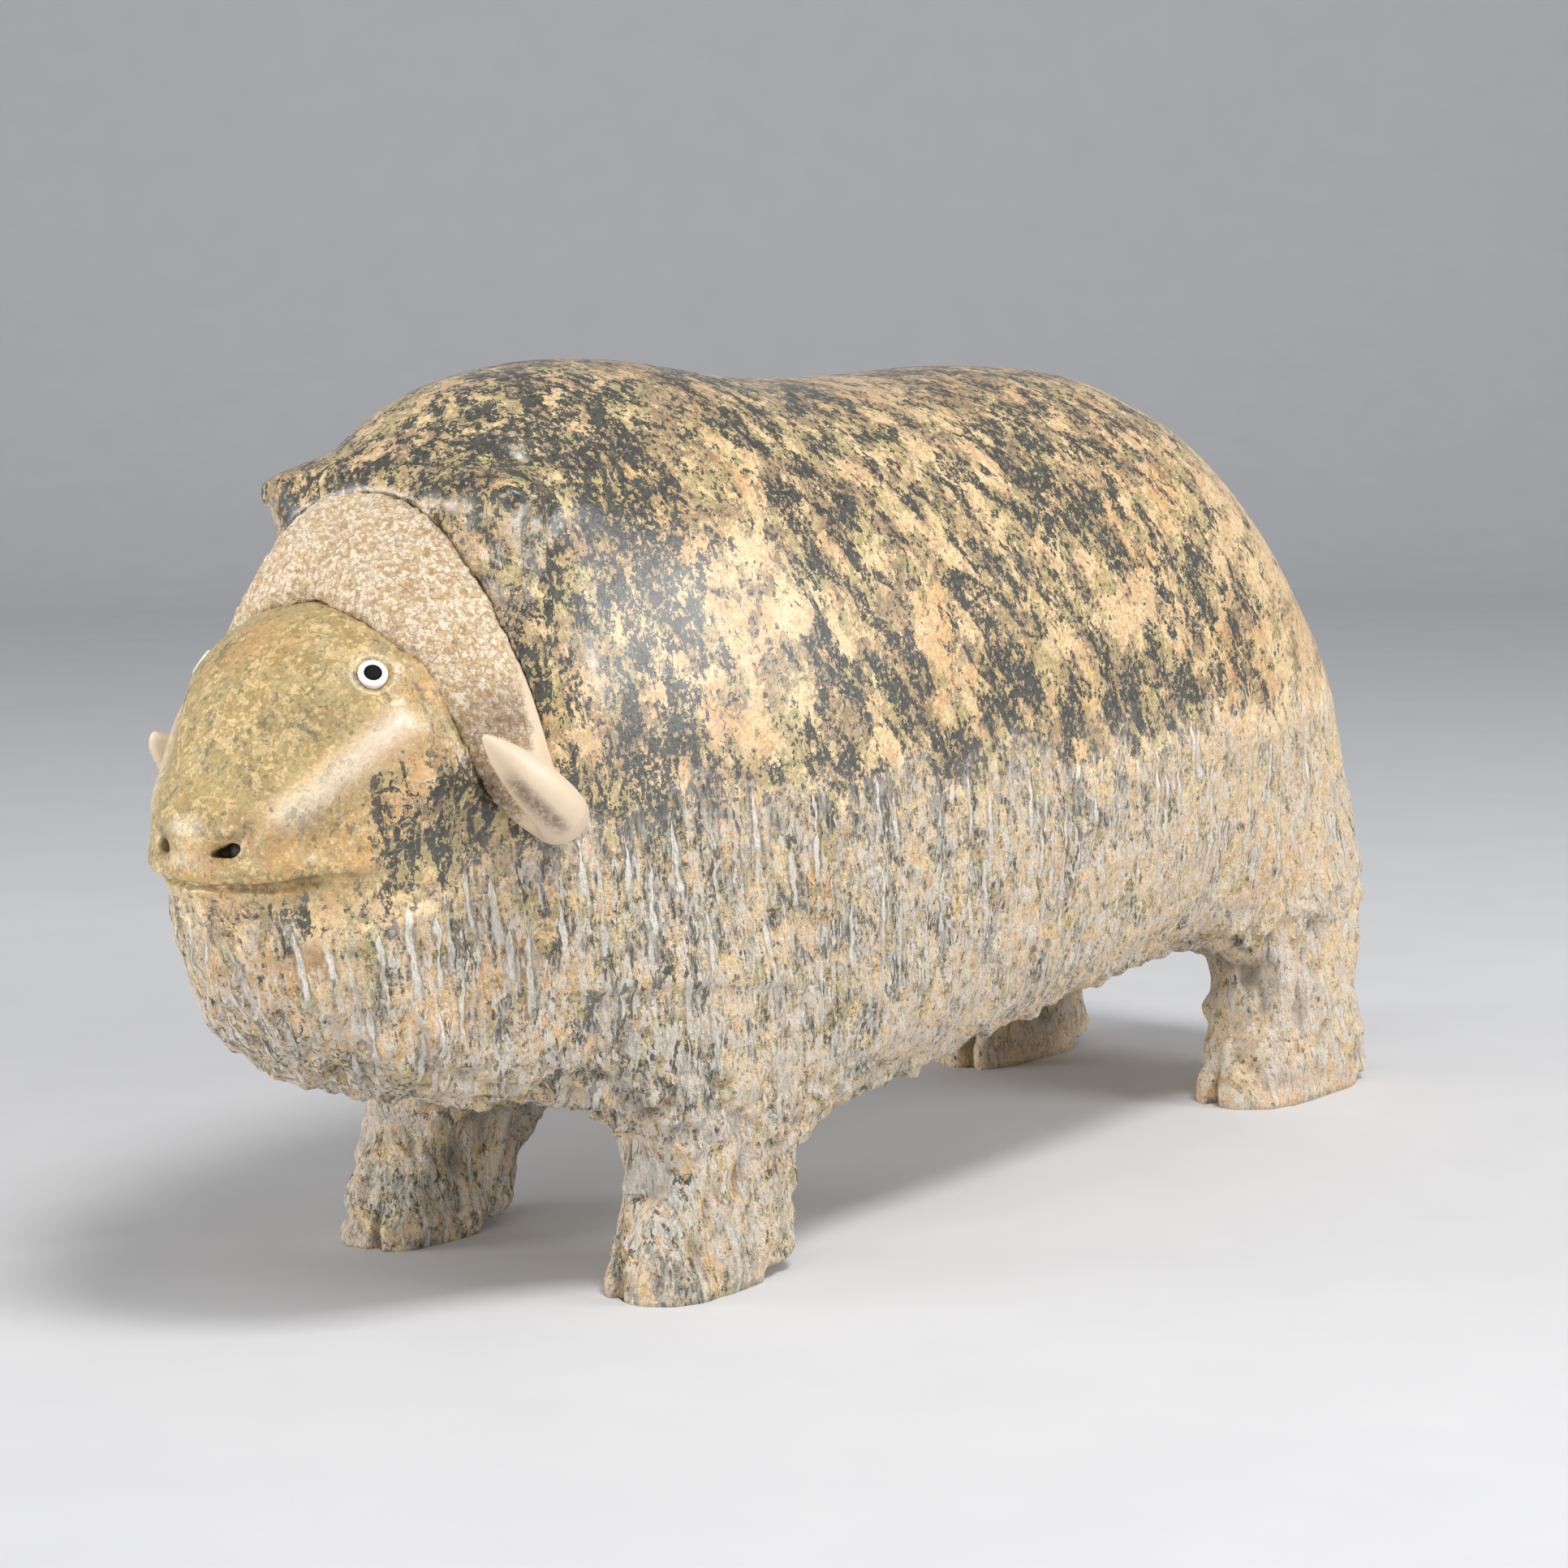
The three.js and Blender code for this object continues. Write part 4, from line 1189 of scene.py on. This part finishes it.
    def build(
        self, node: bpy.types.Object, inlays: np.ndarray, finish: bpy.types.Material
    ) -> bpy.types.Object:
        """Makes the visible stone.

        Args:
            node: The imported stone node.
            inlays: Points of the inlaid pieces, in millimetres.
            finish: The stone's material.

        Returns:
            The visible piece.
        """
        skin = Skin(refined(remeshed(node, self.voxel), self.fine_zone))
        gap = nearness(skin.points, inlays, 12.0)
        sole = skin.points[:, 2] < 0.6
        skin.ease(self.facet_share(skin.points, gap), self.facet_rounds)
        normals, points = skin.normals(), skin.points
        polish, face = self.polish(points), FaceCarving(self.layout)
        strokes = Strokes(self.layout).depth(points, normals)
        cuts = np.maximum(face.cuts(points), ToeCarving(self.layout).cuts(points, normals))
        height = self.relief(points, polish, strokes) * smoothstep(0.5, 3.5, gap)
        height += face.height(points) * smoothstep(1.5, 6.0, gap) - cuts
        # Painted shade: the low places of the chiselled coat are darkened.
        painted_light = smoothstep(0.45, 1.3, -height) * (1.0 - strokes) * (1.0 - polish) * 0.6
        run = self.layout.along(points) + np.where(points[:, 0] < 0, SIDE_SHIFT_MM, 0.0)
        layers = {
            "polish": polish, "stroke": strokes * (1.0 - polish), "scratch_and_sheen": self.scratches_and_ridge_sheen(points),
            "run": run / PAINTED_MM, "fall": (self.layout.edge(points) - points[:, 2]) / PAINTED_MM,
            "dark": self.darkness(points), "face": self.face(points), "warm": self.warmth(points),
            # Painted shade in the low places and in the cuts.
            "pit_shade": np.maximum(painted_light, smoothstep(0.7, 2.6, cuts)),
        }
        for name, values in layers.items():
            skin.paint(name, values)
        skin.points = points + normals * height[:, None]
        skin.points[:, 2] = np.where(sole, 0.0, np.maximum(skin.points[:, 2], 0.05))
        skin.write()
        mesh = thinned(skin.mesh, self.most_triangles)
        return placed("carved_stone", mesh, "stone_muskox", finish)


@dataclass
class AntlerSaddle:
    """The one antler piece that lies over the forehead and curls out to a tip on either side."""

    voxel: float = 0.5
    facet_rounds: int = 56
    most_triangles: int = 110_000
    swell: float = 0.28
    groove: Line = ((45.0, -143.5, 104.0), (47.5, -130.5, 92.5))
    # Two spots on the core that are painted brown.
    brown_spots: tuple[Patch, ...] = (((32.0, -130.0, 110.0), 12.0), ((33.5, -133.0, 99.0), 10.0))

    def spongy(self, points: np.ndarray) -> np.ndarray:
        """1 on the crumbly core in front and above, 0 on the rind behind and on the tips."""
        x, y, z = np.abs(points[:, 0]), points[:, 1], points[:, 2]
        ragged = 1.2 * layered(points, (2.5, 2.5, 2.5), 61)
        rear = smoothstep(-1.2, 1.2, y + 127.4 - 0.13 * (z - 107.0) + ragged) * smoothstep(14.0, 24.0, x)
        share = (1.0 - rear) * smoothstep(91.0, 97.0, z + ragged)
        return share * smoothstep(39.5, 37.5, x + 0.5 * ragged)

    def build(self, node: bpy.types.Object, finish: bpy.types.Material) -> bpy.types.Object:
        """Makes the visible antler.

        Args:
            node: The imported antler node.
            finish: Its material.

        Returns:
            The visible piece.
        """
        skin = Skin(remeshed(node, self.voxel))
        skin.ease(np.full(len(skin.points), 0.6), self.facet_rounds, hold=0.96)
        normals, points = skin.normals(), skin.points
        spongy, twin = self.spongy(points), folded(points)
        crumbs = layered(points, (1.3, 1.3, 1.3), 71, 2)
        holes = smoothstep(0.35, 0.7, noise(points, (1.25, 1.25, 1.25), 75))
        height = spongy * (0.36 * crumbs + 0.30 * noise(points, (5.0, 5.0, 5.0), 73) - 0.30 * holes)
        gap, share = line_gap(twin, self.groove)
        height += self.swell - 0.55 * smoothstep(1.8, 0.2, gap) * smoothstep(0.0, 0.3, share)
        brown_marks = 0.9 * np.maximum(*(blob(twin, *patch) for patch in self.brown_spots)) * spongy
        # Painted shade: the underside of the groove, where it faces down, is browned.
        groove = smoothstep(2.6, 0.3, gap) * smoothstep(0.0, 0.25, share)
        groove *= smoothstep(0.2, 0.6, 0.55 - normals[:, 2])
        skin.paint("spongy", spongy)
        # Painted shade in the holes and low crumbs of the core.
        skin.paint("pit_shade", spongy * np.maximum(holes, smoothstep(0.2, 0.8, -crumbs)))
        skin.paint("brown_marks", np.maximum(brown_marks, groove * 0.8))
        skin.points = points + normals * height[:, None]
        skin.write()
        mesh = thinned(skin.mesh, self.most_triangles)
        return placed("antler_saddle", mesh, "antler_horns", finish)


@dataclass
class InlaidEye:
    """A white ring round a black pupil, let in flush with the face."""

    side: str
    ring_radius: float = 2.6
    pupil_radius: float = 1.55
    joint: float = 0.04
    dome: float = 0.15
    sink: float = 0.35
    rings: int = 12
    around: int = 48

    def disc(self, node: bpy.types.Object, inner: float, outer: float, rise: float) -> bpy.types.Mesh:
        """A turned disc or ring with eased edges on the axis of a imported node.

        Args:
            node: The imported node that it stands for.
            inner: Inner radius in millimetres, or 0 for a full disc.
            outer: Outer radius in millimetres.
            rise: How far its crown stands over its edge, in millimetres.

        Returns:
            The mesh in the row frame.
        """
        centre, axis, top, bottom = self.axis_of(node)
        top -= self.sink
        profile = [(inner, bottom), (outer * 0.985, bottom), (outer, bottom + 0.1), (outer, top - 0.14)]
        for step in range(self.rings + 1):
            t = step / self.rings
            radius = outer - 0.05 - (outer - 0.05 - inner) * t
            crown = rise * (1.0 - (radius / outer) ** 2)
            profile.append((radius, top - 0.08 + 0.08 * min(1.0, 4 * t) + crown))
        if inner > 0:
            profile.append((inner, top - 0.3))
        turn = axis.to_track_quat("Z", "Y").to_matrix()
        corners, faces = [], []
        for index in range(self.around):
            angle = 2 * math.pi * index / self.around
            for radius, level in profile:
                local = Vector((radius * math.cos(angle), radius * math.sin(angle), level))
                corners.append((turn @ local + centre) * MM)
        size = len(profile)
        for index in range(self.around):
            after = (index + 1) % self.around
            for step in range(size if inner > 0 else size - 1):
                nxt = (step + 1) % size
                here, there = index * size, after * size
                faces.append((here + step, there + step, there + nxt, here + nxt))
        mesh = bpy.data.meshes.new(f"{self.side}_eye_disc")
        mesh.from_pydata(corners, [], faces)
        mesh.validate()
        return mesh

    def axis_of(self, node: bpy.types.Object) -> tuple[Vector, Vector, float, float]:
        """Finds how a packed disc sits.

        Args:
            node: A packed eye node.

        Returns:
            Its centre, its outward axis, and its top and bottom along that axis, in millimetres.
        """
        points = Skin(node.data.copy()).points
        centre = points.mean(0)
        spread = np.linalg.svd(points - centre)[2]
        sign = 1.0 if self.side == "left" else -1.0
        guess = np.array([sign * 0.62, -0.66, 0.42])
        axis = max(spread, key=lambda row: abs(row @ guess))
        axis = axis if axis @ guess > 0 else -axis
        reach = (points - centre) @ axis
        return Vector(centre), Vector(axis), float(reach.max()), float(reach.min())

    def build(self, nodes: dict[str, bpy.types.Object], *finishes: bpy.types.Material) -> None:
        """Makes the ring and the pupil of one eye.

        Args:
            nodes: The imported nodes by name.
            *finishes: The materials of the ring and of the pupil.
        """
        ring = ("ring", self.pupil_radius + self.joint, self.ring_radius, self.dome, "eye_white")
        pupil = ("pupil", 0.0, self.pupil_radius, self.dome * 0.4, "eye_black")
        for (kind, inner, outer, rise, slot), finish in zip((ring, pupil), finishes):
            node = f"{self.side}_eye_{kind}"
            mesh = self.disc(nodes[node], inner, outer, rise)
            placed(f"{self.side}_{kind}_inlay", mesh, node, finish)


@dataclass(frozen=True)
class Softbox:
    """A square soft lamp: its direction from the carving, its distance and side in metres, and its watts."""

    name: str
    direction: Place
    away: float
    side: float
    watts: float


@dataclass
class Studio:
    """Pale paper floor, soft lamps and the camera."""

    target: Place = (0.0, -0.00501, 0.0846)
    distance: float = 0.7559
    azimuth: float = 37.1
    elevation: float = 7.1
    roll: float = 0.6
    lens: float = 83.85
    # The paper, in metres: it lies flat to the bend and then sweeps up.
    half_width: float = 3.5
    front: float = -2.5
    bend: float = 1.6
    bend_round: float = 0.8
    top: float = 3.0
    air: str = "#DADCE0"
    air_strength: float = 0.5
    lamps: tuple[Softbox, ...] = (
        Softbox("side_softbox", (0.88, 0.34, 0.27), 1.10, 0.52, 6.4),
        Softbox("front_fill", (-0.66, -0.74, 0.12), 1.4, 0.6, 11.0),
        Softbox("low_fill", (0.22, -0.96, 0.05), 1.4, 0.9, 7.0),
        Softbox("overhead", (0.46, -0.22, 0.86), 1.4, 0.36, 12.0),
    )

    def floor(self) -> None:
        """Lays the paper, which runs back and then sweeps up behind."""
        profile = [(self.front, 0.0), (self.bend, 0.0)]
        for angle in np.linspace(0.1, math.pi / 2, 12):
            across, up = self.bend_round * math.sin(angle), self.bend_round * (1.0 - math.cos(angle))
            profile.append((self.bend + across, up))
        profile.append((self.bend + self.bend_round, self.top))
        turn = Matrix.Rotation(math.radians(self.azimuth), 3, "Z")
        corners = [turn @ Vector((x, y, z)) for y, z in profile for x in (-self.half_width, self.half_width)]
        faces = [(2 * i, 2 * i + 1, 2 * i + 3, 2 * i + 2) for i in range(len(profile) - 1)]
        mesh = bpy.data.meshes.new("paper")
        mesh.from_pydata(corners, [], faces)
        mesh.polygons.foreach_set("use_smooth", [True] * len(faces))
        mesh.materials.append(StudioPaper().make())
        paper = put("paper", mesh)

    def hang(self, box: Softbox) -> None:
        """Hangs a lamp that faces the carving."""
        data = bpy.data.lights.new(box.name, "AREA")
        data.shape, data.size, data.energy = "SQUARE", box.side, box.watts
        lamp = put(box.name, data)
        toward = Vector(box.direction).normalized()
        lamp.location = Vector(self.target) + toward * box.away
        lamp.rotation_euler = (-toward).to_track_quat("-Z", "Y").to_euler()

    def camera(self) -> None:
        """Sets the camera at the photograph's viewing angle."""
        a, e, r = (math.radians(v) for v in (self.azimuth, self.elevation, self.roll))
        back = Vector((math.sin(a) * math.cos(e), -math.cos(a) * math.cos(e), math.sin(e)))
        right = Vector((math.cos(a), math.sin(a), 0.0))
        up = back.cross(right)
        tilted_right = right * math.cos(r) - up * math.sin(r)
        tilted_up = up * math.cos(r) + right * math.sin(r)
        data = bpy.data.cameras.new("camera")
        data.lens, data.sensor_width, data.clip_start, data.clip_end = self.lens, 36.0, 0.05, 20.0
        camera = put("camera", data)
        frame = Matrix((tilted_right, tilted_up, back)).transposed().to_4x4()
        frame.translation = Vector(self.target) + back * self.distance
        camera.matrix_world = frame
        bpy.context.scene.camera = camera

    def build(self) -> None:
        """Sets up the room."""
        self.floor()
        for box in self.lamps:
            self.hang(box)
        world = bpy.data.worlds.new("room")
        world.use_nodes = True
        air = world.node_tree.nodes["Background"].inputs
        air["Color"].default_value, air["Strength"].default_value = linear(self.air), self.air_strength
        bpy.context.scene.world = world
        bpy.context.scene.view_settings.view_transform = "Standard"
        self.camera()


def corners(box: tuple[Vector, Vector]) -> list[list[float]]:
    """A box as plain lists of numbers."""
    return [[float(v) for v in corner] for corner in box]


def main() -> None:
    """Builds the room, the stone, the antler and the eyes."""
    logging.basicConfig(level=logging.INFO, format="%(name)s: %(message)s")
    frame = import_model()
    nodes = frame["nodes"]
    Studio().build()
    inlaid = [nodes[name] for name in sorted(nodes) if name != "stone_muskox"]
    inlays = np.concatenate([Skin(node.data.copy()).points for node in inlaid])
    AntlerSaddle().build(nodes["antler_horns"], CaribouAntler().make())
    white, black = POLISHED_BONE.make(), BLACK_ARGILLITE.make()
    for side in ("left", "right"):
        InlaidEye(side).build(nodes, white, black)
    StoneMuskox(Layout()).build(nodes["stone_muskox"], inlays, MottledSerpentine().make())


if __name__ == "__main__":
    main()
